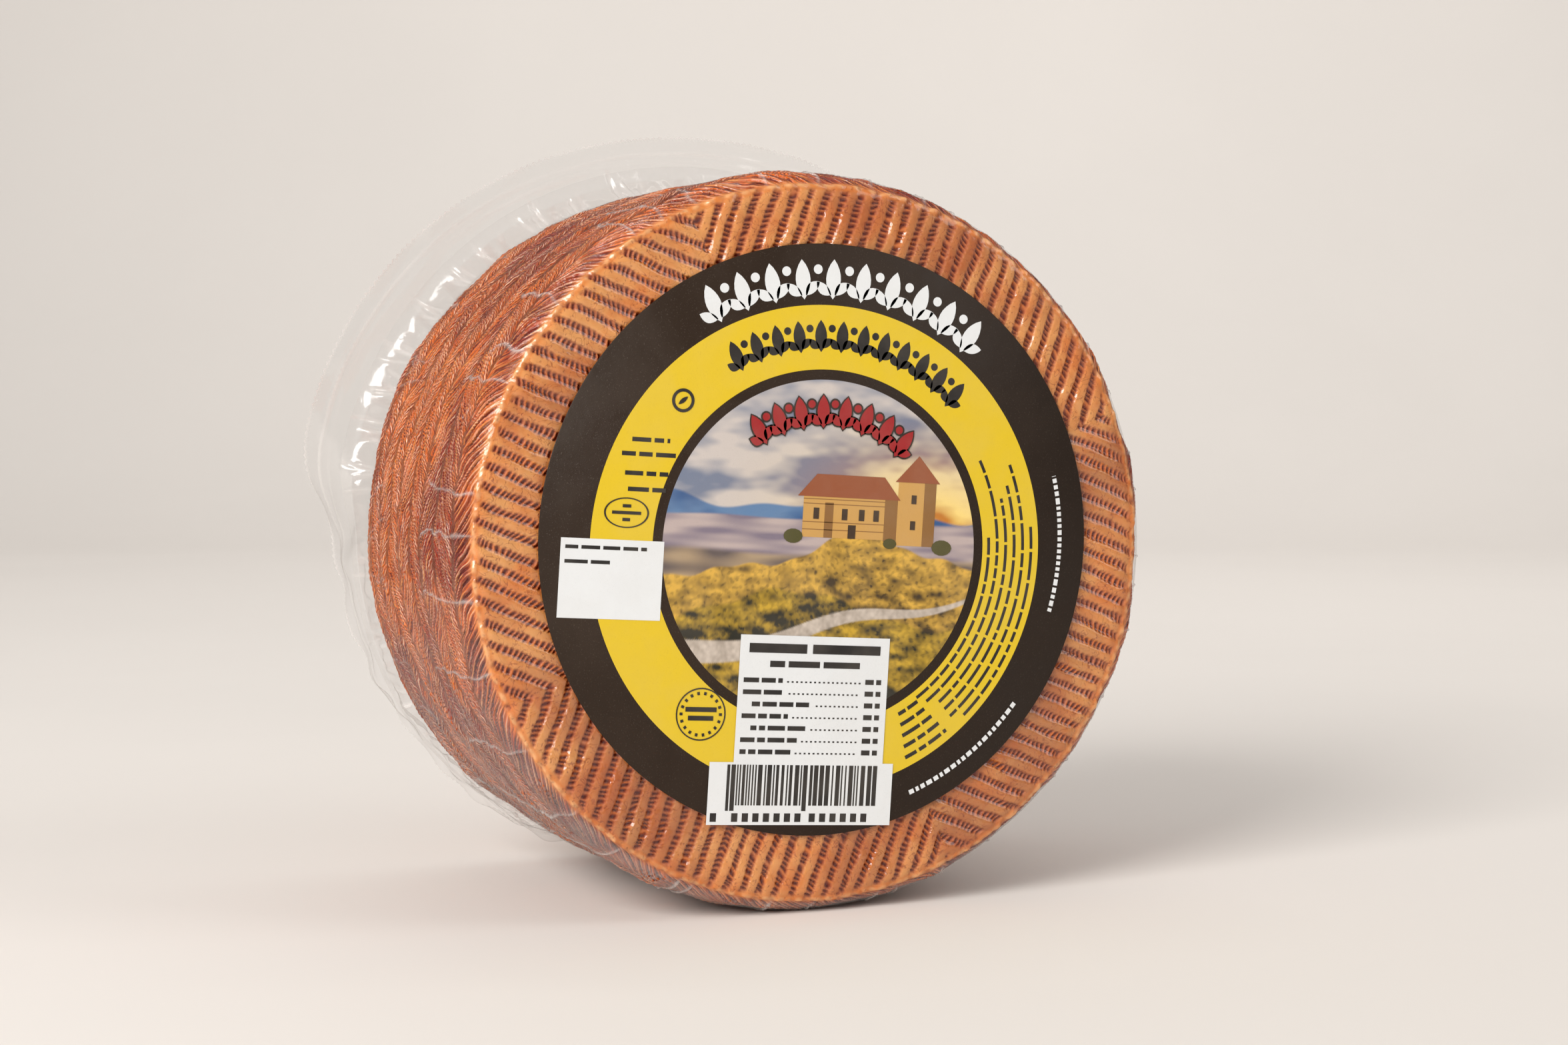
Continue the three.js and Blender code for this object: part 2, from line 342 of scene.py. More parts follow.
def plait_pattern(angle, depth, points, sizes):
    """The plaited straw pattern of the side.

    Rows run round the wheel between ROW_EDGES, with wavy borders. In a row, across goes from 0 at
    its front border to 1 at its rear one. A stroke starts nearly along the border and turns towards
    the rear, since its shift round the wheel is width * (across + reach * (across - across^2 / 2)),
    and rows lean to alternate sides. Returns the relief, the mask pocket, the mask pale of
    the painted sheen that makes the front of each row paler, more so towards the back, and the places
    on the strokes: the count of strokes round the wheel, and the distance along one.
    """
    wavy = depth + 0.9 * ripples(points, 62, 11) + 0.35 * ripples(points, 16, 12)
    row = np.clip(np.searchsorted(ROW_EDGES, wavy) - 1, 0, len(ROW_EDGES) - 2)
    width = ROW_EDGES[row + 1] - ROW_EDGES[row]
    across = np.clip((wavy - ROW_EDGES[row]) / width, 0, 1)
    lean = np.where(row % 2 == 0, 1.0, -1.0)
    reach = sizes.stroke_reach
    shift = width * (across + reach * (across - across**2 / 2))
    arc = (angle - SEAM) / (2 * np.pi) * STROKES
    spacing = 2 * np.pi * PACK_RADIUS / STROKES
    stroke = arc - lean * shift / spacing + scatter(row * 1.0) + 0.16 * ripples(points, 9, 13)
    number = np.floor(stroke) % STROKES
    share = stroke - np.floor(stroke)
    chance = scatter(number, row * 1.0)
    ridge = 0.5 - 0.5 * np.cos(2 * np.pi * share)
    gap = 1 - smooth_step(ridge, 0.02, 0.36 + 0.3 * chance)
    opening = smooth_step(across, 0.12, 0.55) * (1 - smooth_step(across, 0.9, 1.0))
    fine = 0.5 + 0.5 * np.cos(2 * np.pi * 2 * stroke)
    deep = sizes.pocket_depth / MM * (0.55 + 0.6 * chance)
    relief = -deep * gap * opening - 0.30 * gap * (1 - opening)
    relief += -0.20 * fine * (1 - gap) - 0.55 * smooth_step(across, 0.1, 0.95)
    relief += -0.55 * bell(across, 0.0, 0.07) - 0.55 * bell(across, 1.0, 0.07)
    relief += 0.22 * ripples(points, 24, 14) + 0.10 * ripples(points, 7, 15)
    pocket = np.clip(gap * (0.25 + 0.75 * opening) * (0.7 + 0.5 * chance), 0, 1)
    # Painted sheen: the front of each row is made paler, and more so towards the back.
    pale = (1 - smooth_step(across, 0.1, 0.55)) * (1 - 0.6 * gap)
    pale = pale * (0.6 + 0.4 * smooth_step(depth, 10, 90))
    return relief, pocket, pale, np.stack([stroke, across * width / spacing], axis=-1)


def cheese_surface(outline, angle, sizes):
    """Relief, masks and stroke places of the cheese over an outline: the pressed pattern on the
    faces, a knotted bead along the front edge, and the plait on the side, faded into each other."""
    radius, depth, out_radius, out_depth = (part[:, None] for part in outline)
    points = field_points(radius, depth, angle)
    x, z = points[..., 0], points[..., 2]
    back = out_depth > 0.05
    smaller = FACE_RADIUS / BACK_PATTERN_RADIUS
    face_x, face_z = np.where(back, -x * smaller, x), np.where(back, z * smaller, z)
    face, groove, pit, line, sag = face_pattern(face_x, face_z, sizes)
    side, pocket, pale, strokes = plait_pattern(angle, depth, points, sizes)
    on_face = smooth_step(-out_depth, 0.72, 0.90) + smooth_step(out_depth, 0.86, 0.98)
    on_face = on_face * np.clip(past_label(radius) + back, 0, 1)
    on_side = smooth_step(out_radius, 0.55, 0.80)
    knots = np.cos(2 * np.pi * line)
    front = depth < CORNER_DEPTH
    crest = bell(radius, CREST_RADIUS, 0.5) * front
    uneven = 0.14 * ripples(points, 5, 21) + 0.12 * ripples(points, 2, 23)
    bead = crest * (0.34 + 0.08 * knots + uneven)
    bead -= 0.20 * bell(radius, CREST_GROOVE_RADIUS, 0.7) * front
    lumps = 0.12 * ripples(points, 11, 22)
    relief = face * on_face + side * on_side + bead + lumps
    masks = {
        "groove": groove * on_face,
        "pit": pit * on_face,
        "pocket": pocket * on_side,
        "pale": pale * on_side,
        "side": on_side + 0 * pocket,
        "sag": sag * on_face,
        "rim": 0.7 * smooth_step(radius, 90.2, 91.4) * front * (1 - on_side) * (1 - groove),
        # Painted highlight: pale cream along the knotted bead of the front edge.
        "crest": np.clip(crest * (0.7 + 0.4 * knots + 0.5 * ripples(points, 2.2, 24)), 0, 1),
    }
    return relief, masks, strokes


# ---------------------------------------------------------------- film shapes


def crease_field(angle, depth, points):
    """Height and whiteness of the film's creases on the side. Their whiteness is partly the creased
    film's own milkiness and partly painted highlight.

    The listed creases run back from the front edge and end in a small hook, and more of the same
    kind stand at random round the rest. Behind them, many hair-like creases run over the back edge.
    Each is a bell across its wavy middle line, faded at its two ends.
    """
    rng = np.random.default_rng(31)
    others = [(a, rng.uniform(12, 55)) for a in np.arange(-118, 132, 9.0) + rng.uniform(-4, 4, 28)]
    wobble = 0.5 * ripples(points, 18, 32) + 0.35 * ripples(points, 7, 33)
    height = np.zeros_like(wobble)
    for degrees, end in CREASES + others:
        hook = 2.2 * smooth_step(depth, end - 5, end) * (1 if int(degrees) % 2 else -1)
        away = round_the_side(angle, degrees) - wobble - hook
        reach = smooth_step(depth, 0.6, 3) * (1 - smooth_step(depth, end - 3, end + 0.5))
        height += bell(away, 0, 0.36) * reach
    for degrees in rng.uniform(0, 360, 64):
        start, end = rng.uniform(62, 82), rng.uniform(88, 100)
        bow = rng.uniform(-5, 5) * ((depth - start) / 20) ** 2
        bow = bow + rng.uniform(-0.3, 0.3) * (depth - start)
        away = round_the_side(angle, degrees) - 1.6 * wobble - bow
        reach = smooth_step(depth, start, start + 4) * (1 - smooth_step(depth, end - 3, end + 3))
        height += 0.6 * bell(away, 0, 0.30) * reach
    return CREASE_HEIGHT * height, np.clip(height, 0, 1)


def film_surface(outline, angle, sizes):
    """The film over the wheel, as relief, whiteness, the mask of the side, and stroke places.

    It keeps just clear of the cheese's high parts. On the side it sinks into the pockets as
    cling * tanh(relief / cling), on the faces it sags into each groove by FILM_SAG, and it stands
    up in creases. Painted light lies over the lower side: its whiteness is raised there.
    """
    relief, masks, strokes = cheese_surface(outline, angle, sizes)
    sunk = np.where(relief > 0, relief, FILM_CLING * np.tanh(relief / FILM_CLING))
    flat = np.maximum(sunk, -0.1) - FILM_SAG * masks["sag"]
    sunk = flat + (sunk - flat) * smooth_step(masks["side"], 0, 0.5)
    radius, depth = outline[0][:, None], outline[1][:, None]
    height, white = crease_field(angle, depth, field_points(radius, depth, angle))
    # Painted light: whiteness over the lower side, growing between the two angles from the top.
    painted_light = LOWER_SIDE_PAINTED_LIGHT * smooth_step(from_top(angle), PAINTED_LIGHT_FROM, PAINTED_LIGHT_TO) * masks["side"]
    return 0.9 * sunk + 0.14 + height, painted_light + 0.6 * white, masks["side"], strokes


def sheet_turn(angle):
    """How far the flange turns outwards from the side, in radians: a right angle round the upper
    part, a slight turn round the lower part, and none where it goes flat at the bottom."""
    away = from_top(angle)
    lower = BENT_TURN * (1 - smooth_step(away, FOOT_FROM, FOOT_TO))
    return np.radians(STANDING_TURN + (lower - STANDING_TURN) * smooth_step(away, BEND_FROM, BEND_TO))


def sheet_length(angle):
    """Length of the flange's sheet from the side to its edge, longer at three rounded corners."""
    return SHEET_LENGTH + SHEET_LOBE * np.cos(3 * (angle - np.radians(LOBE_ANGLE)))


def flange_grid(angle, along, inward):
    """Radius, depth and outward normal of the flange's sheet. It leaves the side straight back,
    turns outwards on an arc of TURN_RADIUS, and goes on straight. inward counts to the wheel."""
    turned = np.minimum(along / TURN_RADIUS, sheet_turn(angle))
    straight = along - turned * TURN_RADIUS
    out_radius, out_depth = np.cos(turned), -np.sin(turned)
    radius = PACK_RADIUS + TURN_RADIUS * (1 - np.cos(turned)) + straight * np.sin(turned)
    depth = FLANGE_START + TURN_RADIUS * np.sin(turned) + straight * np.cos(turned)
    return radius - out_radius * inward, depth - out_depth * inward, out_radius, out_depth


def flange_waves(angle, along, length):
    """Height and whiteness of the flange's pleats and waves: long soft waves that grow outwards,
    fans of narrow folds at the listed places, ripples at the root, crumples where the sheet is bent
    back, and two raised lines that follow the edge."""
    points = field_points(PACK_RADIUS, 1.2 * along, angle)
    outwards = smooth_step(along, 1.0, 16.0)
    height = 0.9 * outwards * ripples(points, 46, 41) + 0.30 * outwards * ripples(points, 13, 42)
    white = 0 * height
    rng = np.random.default_rng(43)
    for degrees in PLEATS + list(rng.uniform(-70, 95, 14)):
        for _ in range(4):
            spread = rng.uniform(-0.5, 0.5) * along * 0.5
            tip = rng.uniform(6, 14)
            away = round_the_side(angle, degrees + rng.uniform(-2.2, 2.2)) - spread
            reach = smooth_step(along, 0.2, 2.5) * (1 - smooth_step(along, tip - 3, tip))
            ridge = bell(away, 0, 0.55) * reach
            height += ridge * rng.uniform(-0.9, 0.9)
            # The pleats' whiteness is partly the creased film's milkiness and partly painted highlight.
            white += 0.22 * ridge
    folds = field_points(PACK_RADIUS, 0.3 * along, angle)
    height += 0.30 * bell(along, 5.0, 3.5) * (ripples(folds, 7, 45) + 0.6 * ripples(folds, 3.2, 46))
    crumple = smooth_step(from_top(angle), BEND_FROM, BEND_TO) * smooth_step(along, 2, 8)
    height += CRUMPLE * crumple * ripples(points, 9, 44)
    outer, inner = (length - distance for distance in EDGE_LINES)
    height += 0.35 * bell(along, outer, 0.45) + 0.20 * bell(along, inner, 0.4)
    white += 0.40 * bell(along, outer, 0.35) + 0.25 * bell(along, inner, 0.3)
    white += 0.55 * smooth_step(along, length - 0.7, length)
    return height, np.clip(white, 0, 1)


# ---------------------------------------------------------------- meshes


def grid_normals(points):
    """Outward unit normals of a grid that closes round its columns, from the cross product of its
    steps."""
    along = np.gradient(points, axis=0)
    round_it = np.roll(points, -1, axis=1) - np.roll(points, 1, axis=1)
    normals = np.cross(along, round_it)
    return normals / np.maximum(np.linalg.norm(normals, axis=-1, keepdims=True), 1e-12)


def add_mesh(name, points, faces):
    """A smooth mesh object from points in millimetres and a list of faces."""
    mesh = bpy.data.meshes.new(name)
    mesh.from_pydata((np.asarray(points) * MM).tolist(), [], faces, shade_flat=False)
    piece = bpy.data.objects.new(name, mesh)
    bpy.context.scene.collection.objects.link(piece)
    return piece


def add_grid(name, points, normals, front_cap=True, back_cap=True, masks=None, strokes=None):
    """A grid that closes round its columns, with flat caps over its two open ends where asked.
    masks become attributes of the points, and strokes the UV map."""
    rows, columns = points.shape[:2]
    index = np.arange(rows * columns).reshape(rows, columns)
    near, far = index[:-1], index[1:]
    quads = np.stack([near, far, np.roll(far, -1, 1), np.roll(near, -1, 1)], axis=-1)
    faces = quads.reshape(-1, 4).tolist()
    if front_cap:
        faces.append(index[0].tolist())
    if back_cap:
        faces.append(index[-1][::-1].tolist())
    piece = add_mesh(name, points.reshape(-1, 3), faces)
    mesh = piece.data
    for mask, values in (masks or {}).items():
        layer = mesh.attributes.new(mask, "FLOAT", "POINT")
        layer.data.foreach_set("value", values.astype(np.float32).ravel())
    if strokes is not None:
        corners = np.empty(len(mesh.loops), np.int32)
        mesh.loops.foreach_get("vertex_index", corners)
        places = strokes.reshape(-1, 2)[corners].astype(np.float32)
        mesh.uv_layers.new(name="strokes").data.foreach_set("uv", places.ravel())
    mesh.normals_split_custom_set_from_vertices(normals.reshape(-1, 3).tolist())
    return piece


def tucked(points, normals, masks, strokes, row):
    """Adds a row next to the first (row 0) or last (row -1) one, TUCK towards the front, so that
    the cap over it lies below the grooves of the back."""

    def grown(values):
        return np.concatenate([values[:1], values] if row == 0 else [values, values[-1:]])

    points = grown(points)
    points[row, :, 1] -= TUCK
    masks = {mask: grown(values) for mask, values in masks.items()}
    return points, grown(normals), masks, grown(strokes)


def add_ink(piece, colours):
    """Gives each point a colour, which the ink material shows."""
    layer = piece.data.color_attributes.new("ink", "FLOAT_COLOR", "POINT")
    layer.data.foreach_set("color", colours.astype(np.float32).ravel())


def on_frame(piece, node, material):
    """Gives a piece its material, hangs it on the root body and hides the CAD part of its node."""
    piece.data.materials.append(material)
    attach(piece, "root")
    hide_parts(node)
    return piece


# ---------------------------------------------------------------- node helpers


class Graph:
    """Adds nodes to one node tree and joins them."""

    def __init__(self, tree):
        self.tree = tree

    def add(self, kind, inputs=None, **settings):
        """A node with its settings, and with values or links on its inputs."""
        node = self.tree.nodes.new("ShaderNode" + kind)
        for key, value in settings.items():
            setattr(node, key, value)
        for key, value in (inputs or {}).items():
            if isinstance(value, bpy.types.NodeSocket):
                self.tree.links.new(value, node.inputs[key])
            else:
                node.inputs[key].default_value = value
        return node

    def mix(self, factor, first, second):
        """A colour between two colours."""
        sides = [c if isinstance(c, bpy.types.NodeSocket) else (*c, 1.0) for c in (first, second)]
        first, second = sides
        return self.add("Mix", {0: factor, 6: first, 7: second}, data_type="RGBA").outputs[2]

    def math(self, operation, first, second=0.0):
        """One operation on two values."""
        return self.add("Math", {0: first, 1: second}, operation=operation).outputs[0]

    def plus(self, first, second):
        """The sum of two values."""
        return self.math("ADD", first, second)

    def times(self, first, second):
        """The product of two values."""
        return self.math("MULTIPLY", first, second)

    def between(self, value, low, high, start=0.0, end=1.0):
        """A value carried smoothly from low...high to start...end."""
        inputs = {"Value": value, "From Min": low, "From Max": high, "To Min": start, "To Max": end}
        return self.add("MapRange", inputs, interpolation_type="SMOOTHSTEP").outputs["Result"]

    def noise(self, vector, scale, detail=3.0, roughness=0.55, distortion=0.0):
        """Noise from 0 to 1 with a number of bumps in each metre."""
        inputs = {"Vector": vector, "Scale": scale, "Detail": detail}
        inputs.update({"Roughness": roughness, "Distortion": distortion})
        return self.add("TexNoise", inputs).outputs["Fac"]

    def mask(self, name):
        """A float attribute of the mesh."""
        return self.add("Attribute", attribute_name=name).outputs["Fac"]

    def place(self):
        """Object coordinates, in metres."""
        return self.add("TexCoord").outputs["Object"]

    def bump(self, height, strength, distance):
        """A normal from a height."""
        inputs = {"Height": height, "Strength": strength, "Distance": distance}
        return self.add("Bump", inputs).outputs["Normal"]


def new_material(name):
    """An empty material and its graph."""
    material = bpy.data.materials.new(name)
    material.use_nodes = True
    material.node_tree.nodes.clear()
    return material, Graph(material.node_tree)


def finish_material(graph, shader):
    """Puts the last shader on the surface."""
    graph.add("OutputMaterial", {"Surface": shader})


def finish_solid(graph, colour, rough, normal, specular=0.5):
    """Ends a material as an opaque surface."""
    inputs = {"Base Color": colour, "Roughness": rough, "Normal": normal}
    inputs["Specular IOR Level"] = specular
    finish_material(graph, graph.add("BsdfPrincipled", inputs).outputs[0])


def grain_group():
    """Node group: soft patches, fine pores and a fine height, at a chosen size."""
    found = bpy.data.node_groups.get("Fine Grain")
    if found:
        return found
    group = bpy.data.node_groups.new("Fine Grain", "ShaderNodeTree")
    face = group.interface
    face.new_socket("Vector", in_out="INPUT", socket_type="NodeSocketVector")
    face.new_socket("Patch Scale", in_out="INPUT", socket_type="NodeSocketFloat")
    face.new_socket("Grain Scale", in_out="INPUT", socket_type="NodeSocketFloat")
    for output in ("Patches", "Pores", "Height"):
        face.new_socket(output, in_out="OUTPUT", socket_type="NodeSocketFloat")
    graph = Graph(group)
    start = group.nodes.new("NodeGroupInput")
    end = group.nodes.new("NodeGroupOutput")
    patches = graph.noise(start.outputs[0], start.outputs[1], 4.0, 0.6, 0.4)
    fine = graph.noise(start.outputs[0], start.outputs[2], 5.0, 0.65)
    pores = graph.between(graph.noise(start.outputs[0], start.outputs[2], 1.0), 0.62, 0.74)
    group.links.new(graph.between(patches, 0.32, 0.68), end.inputs[0])
    group.links.new(pores, end.inputs[1])
    group.links.new(graph.math("SUBTRACT", fine, pores), end.inputs[2])
    return group


def grain(graph, vector, patch_scale, grain_scale):
    """The grain group in a material, as its three outputs."""
    node = graph.tree.nodes.new("ShaderNodeGroup")
    node.node_tree = grain_group()
    graph.tree.links.new(vector, node.inputs[0])
    node.inputs[1].default_value = patch_scale
    node.inputs[2].default_value = grain_scale
    return node.outputs


# ---------------------------------------------------------------- materials


def plait_lines(graph, place):
    """Two noises drawn out along the plait's strokes, from the UV map, and a wave across them: the
    cosine of two turns in each stroke, pushed about by a noise."""
    strokes = graph.add("UVMap", uv_map="strokes").outputs["UV"]
    thin = graph.add("Mapping", {"Vector": strokes, "Scale": (7.0, 0.5, 1.0)}).outputs["Vector"]
    broad = graph.add("Mapping", {"Vector": strokes, "Scale": (2.3, 0.3, 1.0)}).outputs["Vector"]
    turns = graph.times(graph.add("SeparateXYZ", {"Vector": strokes}).outputs["X"], 2.0)
    turns = graph.plus(turns, graph.times(graph.noise(place, 150.0, 2.0, 0.5, 0.8), 1.3))
    wave = graph.math("COSINE", graph.times(turns, 2 * np.pi))
    return graph.noise(thin, 1.0, 2.0, 0.6), graph.noise(broad, 1.0, 2.0, 0.6, 0.3), wave


def rind_material(colours):
    """Waxed cheese rind: patchy orange with dark stained grooves and pockets, fine strokes along the
    plait, painted sheen on the fronts of its rows with painted highlight lines along its strands, and
    a pale cream painted highlight along the bead of the front edge."""
    material, g = new_material("Waxed rind")
    place = g.place()
    patches, pores, height = grain(g, place, 75.0, 900.0)
    band = g.mix(patches, colours.band, colours.band_shade)
    stain = g.between(g.noise(place, 28.0, 2.0), 0.42, 0.66)
    band = g.mix(g.times(stain, 0.45), band, colours.pit)
    crack = g.noise(place, 260.0, 2.0, 0.5, 1.2)
    crack = g.between(g.math("ABSOLUTE", g.math("SUBTRACT", crack, 0.5)), 0.0, 0.016, 0.55, 0.0)
    band = g.mix(crack, band, colours.pit)
    band = g.mix(g.times(g.mask("rim"), 0.85), band, colours.rim)
    # Painted highlight: pale cream along the bead of the front edge.
    band = g.mix(g.times(g.mask("crest"), 0.55), band, colours.crest)
    groove = g.mask("groove")
    face = g.mix(g.times(groove, 0.85), band, colours.rib)
    face = g.mix(g.mask("pit"), face, colours.pit)
    streak, strand, wave = plait_lines(g, place)
    stained = g.between(g.noise(place, 26.0, 3.0, 0.6, 0.6), 0.42, 0.60)
    side = g.mix(stained, colours.plait, colours.plait_stain)
    side = g.mix(g.between(streak, 0.50, 0.62, 0.0, 0.8), side, colours.plait_light)
    dark = g.times(g.between(wave, -0.25, -0.8), g.between(strand, 0.60, 0.44, 0.35, 1.0))
    side = g.mix(dark, side, colours.pocket)
    pocket = g.mask("pocket")
    side = g.mix(g.times(pocket, 0.8), side, colours.pocket)
    # Painted sheen: how strongly the painted highlight lines on the strands show, more on the fronts of
    # the rows.
    lighter = g.plus(g.times(g.mask("pale"), 0.6), 0.44)
    pale = g.times(g.between(wave, 0.35, 0.85), g.between(strand, 0.46, 0.54))
    pale = g.times(g.times(pale, lighter), g.math("SUBTRACT", 1.0, pocket))
    side = g.mix(pale, side, colours.pale)
    colour = g.mix(g.mask("side"), face, side)
    colour = g.mix(g.times(pores, 0.25), colour, colours.pit)
    rough = g.between(patches, 0.0, 1.0, 0.34, 0.52)
    lines = g.times(g.plus(streak, g.times(wave, 0.3)), g.mask("side"))
    relief = g.plus(g.times(lines, 1.8), g.times(height, 0.35))
    finish_solid(g, colour, rough, g.bump(relief, 0.75, 0.0005), 0.22)
    return material


def film_material(colours):
    """Clear film: what is behind shows through, gloss and greyness grow towards grazing angles, and
    creases, pleats and welded lines turn milky. The milky white of creases and pleats is partly
    painted highlight, and the same white mask carries the painted light over the lower side."""
    material, g = new_material("Clear film")
    place = g.place()
    _, _, height = grain(g, place, 60.0, 420.0)
    streak, _, wave = plait_lines(g, place)
    cling = g.times(g.plus(streak, g.times(wave, 0.35)), g.mask("side"))
    normal = g.bump(g.plus(g.times(height, 0.15), g.times(cling, 1.5)), 0.7, 0.0004)
    facing = g.add("LayerWeight", {"Blend": 0.5, "Normal": normal}).outputs["Facing"]
    gloss = g.plus(0.062, g.times(g.math("POWER", facing, 5.0), 0.22))
    shine = g.add("BsdfGlossy", {"Roughness": 0.15, "Normal": normal}).outputs[0]
    through = g.mix(g.math("POWER", facing, 3.0), (0.985, 0.985, 0.985), (0.80, 0.78, 0.77))
    clear = g.add("BsdfTransparent", {"Color": through}).outputs[0]
    sheet = g.add("MixShader", {0: gloss, 1: clear, 2: shine}).outputs[0]
    inputs = {"Base Color": (*colours.film, 1.0), "Roughness": 0.28, "Normal": normal}
    milky = g.add("BsdfPrincipled", inputs).outputs[0]
    haze = g.between(g.noise(place, 70.0, 3.0), 0.3, 0.7, 0.45, 0.75)
    # The white mask: milky creases, pleats and welds, partly painted highlight, and painted light over
    # the lower side.
    white = g.times(g.mask("white"), haze)
    finish_material(g, g.add("MixShader", {0: white, 1: sheet, 2: milky}).outputs[0])
    return material


def paper_bump(graph, place, height):
    """The normal of slightly wavy paper with a fine grain."""
    waves = graph.plus(graph.times(height, 0.25), graph.times(graph.noise(place, 120.0), 1.5))
    return graph.bump(waves, 0.22, 0.0005)


def paper_material(colours):
    """Dark printed label paper with a faint fibre grain and small scuffs."""
    material, g = new_material("Dark label paper")
    place = g.place()
    patches, pores, height = grain(g, place, 40.0, 2600.0)
    colour = g.mix(g.times(patches, 0.35), colours.label_dark, colours.label_dark_rubbed)
    colour = g.mix(g.times(pores, 0.12), colour, colours.label_scuff)
    rough = g.between(patches, 0.0, 1.0, 0.36, 0.50)
    finish_solid(g, colour, rough, paper_bump(g, place, height), 0.18)
    return material


def ink_material():
    """Printed ink in the colour that each shape carries, over the same paper grain."""
    material, g = new_material("Printed ink")
    place = g.place()
    patches, pores, height = grain(g, place, 55.0, 2600.0)
    ink = g.add("Attribute", attribute_name="ink").outputs["Color"]
    colour = g.mix(g.times(patches, 0.07), ink, (0.45, 0.38, 0.30))
    colour = g.mix(g.times(pores, 0.05), colour, (0.08, 0.06, 0.05))
    rough = g.between(patches, 0.0, 1.0, 0.36, 0.48)
    finish_solid(g, colour, rough, paper_bump(g, place, height))
    return material


def backdrop_material(colours):
    """Matt painted board, very slightly uneven."""
    material, g = new_material("Pale board")
    place = g.place()
    patches, _, height = grain(g, place, 1.6, 300.0)
    colour = g.mix(g.times(patches, 0.5), colours.floor, colours.floor_shade)
    finish_solid(g, colour, 0.8, g.bump(height, 0.05, 0.0002))
    return material


# ---------------------------------------------------------------- label shapes


def box_shape(left, right, low, high):
    """A rectangle, anticlockwise as seen from the front."""
    return np.array([(left, low), (right, low), (right, high), (left, high)], float)


def arc_shape(inner, outer, first, last, centre=PRINT_CENTRE):
    """A piece of a ring between two radii and two angles in degrees, on steps of about 2 degrees."""
    turn = np.radians(np.linspace(first, last, max(2, int(abs(last - first) / 2) + 2)))
    there = np.stack([np.cos(turn), np.sin(turn)], axis=-1)
    return np.concatenate([there * outer, there[::-1] * inner]) + centre


def leaf_shape(length, width, bow=0.0):
    """A leaf along +X: its half width is width/2 * sin(pi t)^0.8, and it bows by bow * sin(pi t)."""
    t = np.linspace(0, 1, 9)
    half, middle = width / 2 * np.sin(np.pi * t) ** 0.8, bow * np.sin(np.pi * t)
    low = np.stack([t * length, middle - half], axis=-1)
    high = np.stack([t * length, middle + half], axis=-1)[::-1]
    return np.concatenate([low, high[1:-1]]) - (length / 2, 0)


def round_shape(wide, high=None, steps=20):
    """An ellipse with two half widths."""
    turn = np.arange(steps) / steps * 2 * np.pi
    return np.stack([np.cos(turn) * wide, np.sin(turn) * (high or wide)], axis=-1)


def moved(shape, place, degrees=0.0, size=1.0):
    """A shape scaled, turned and moved."""
    turn = np.radians(degrees)
    turning = np.array([[np.cos(turn), np.sin(turn)], [-np.sin(turn), np.cos(turn)]])
    return shape @ turning * size + place


def on_arc(shape, radius, degrees, centre=PRINT_CENTRE):
    """A shape stood on an arc, with its own up pointing away from the centre."""
    turn = np.radians(degrees)
    place = np.array([np.cos(turn), np.sin(turn)]) * radius + centre
    return moved(shape, place, degrees - 90)


def on_label(flat, level):
    """Flat places on the label as points, with the print's turn, at a level of the print."""
    turned = moved(flat, (0, 0), PRINT_TURN)
    y = np.full(turned.shape[:-1], LABEL_FRONT - PRINT_STEP * level)
    return np.stack([turned[..., 0], y, turned[..., 1] + LABEL_HEIGHT], axis=-1)


def ring_outline(shape, thickness):
    """The band between a closed shape and its copy shrunk by thickness, as four-cornered shapes."""
    size = np.abs(shape - shape.mean(0)).max()
    inner = (shape - shape.mean(0)) * (1 - thickness / size) + shape.mean(0)
    after, inner_after = np.roll(shape, -1, axis=0), np.roll(inner, -1, axis=0)
    return list(np.stack([shape, after, inner_after, inner], axis=1))


def add_shapes(name, groups):
    """One mesh of flat printed shapes. Each group is (level, colour, shapes), and each level lies
    above the one below it, so that later print covers earlier print."""
    points, faces, colours = [], [], []
    count = 0
    for level, colour, shapes in groups:
        for shape in shapes:
            points.append(on_label(shape, level))
            colours.append(np.tile((*colour, 1.0), (len(shape), 1)))
            faces.append(list(range(count, count + len(shape))))
            count += len(shape)
    piece = add_mesh(name, np.concatenate(points), faces)
    add_ink(piece, np.concatenate(colours))
    return piece


def word_bars(rng, first, last, low, high, gap):
    """Pairs of ends of word-long bars between two positions, each low to high long."""
    bars, at = [], first
    while at < last:
        end = min(at + rng.uniform(low, high), last)
        bars.append((at, end))
        at = end + gap
    return bars


def box_words(rng, left, right, low, height, words):
    """A straight line of word-long bars. words is (low, high, gap) of their lengths."""
    return [box_shape(a, b, low, low + height) for a, b in word_bars(rng, left, right, *words)]


def arc_words(rng, radius, first, last, half, words, centre=PRINT_CENTRE):
    """A line of word-long bars along an arc, half as high as said on each side of the radius."""
    bars = word_bars(rng, first, last, *words)
    return [arc_shape(radius - half, radius + half, a, b, centre) for a, b in bars]


def garland(radius, first, last, count, height, swell=0.0):
    """An arch of leaf sprays, each of the given height: a broad upright leaf on a low pair that
    leans away from it, with a berry between neighbouring sprays. swell makes all of it fatter."""
    shapes = []
    places = np.linspace(first, last, count)
    step = places[1] - places[0]
    side = np.radians(step) * radius
    for place in places:
        upright = moved(leaf_shape(height + swell, height * 0.40 + swell), (0, 0), 90)
        shapes.append(on_arc(upright, radius, place))
        for lean in (-1, 1):
            low = leaf_shape(side * 0.62 + swell, height * 0.26 + swell, 0.3)
            low = moved(low, (-lean * side * 0.30, -height * 0.24), 90 + lean * 52)
            shapes.append(on_arc(low, radius, place))
        if place < last:
            berry = moved(round_shape(height * 0.12 + swell / 2), (0, height * 0.24))
            shapes.append(on_arc(berry, radius, place + step / 2))
    return shapes


# ---------------------------------------------------------------- picture on the label


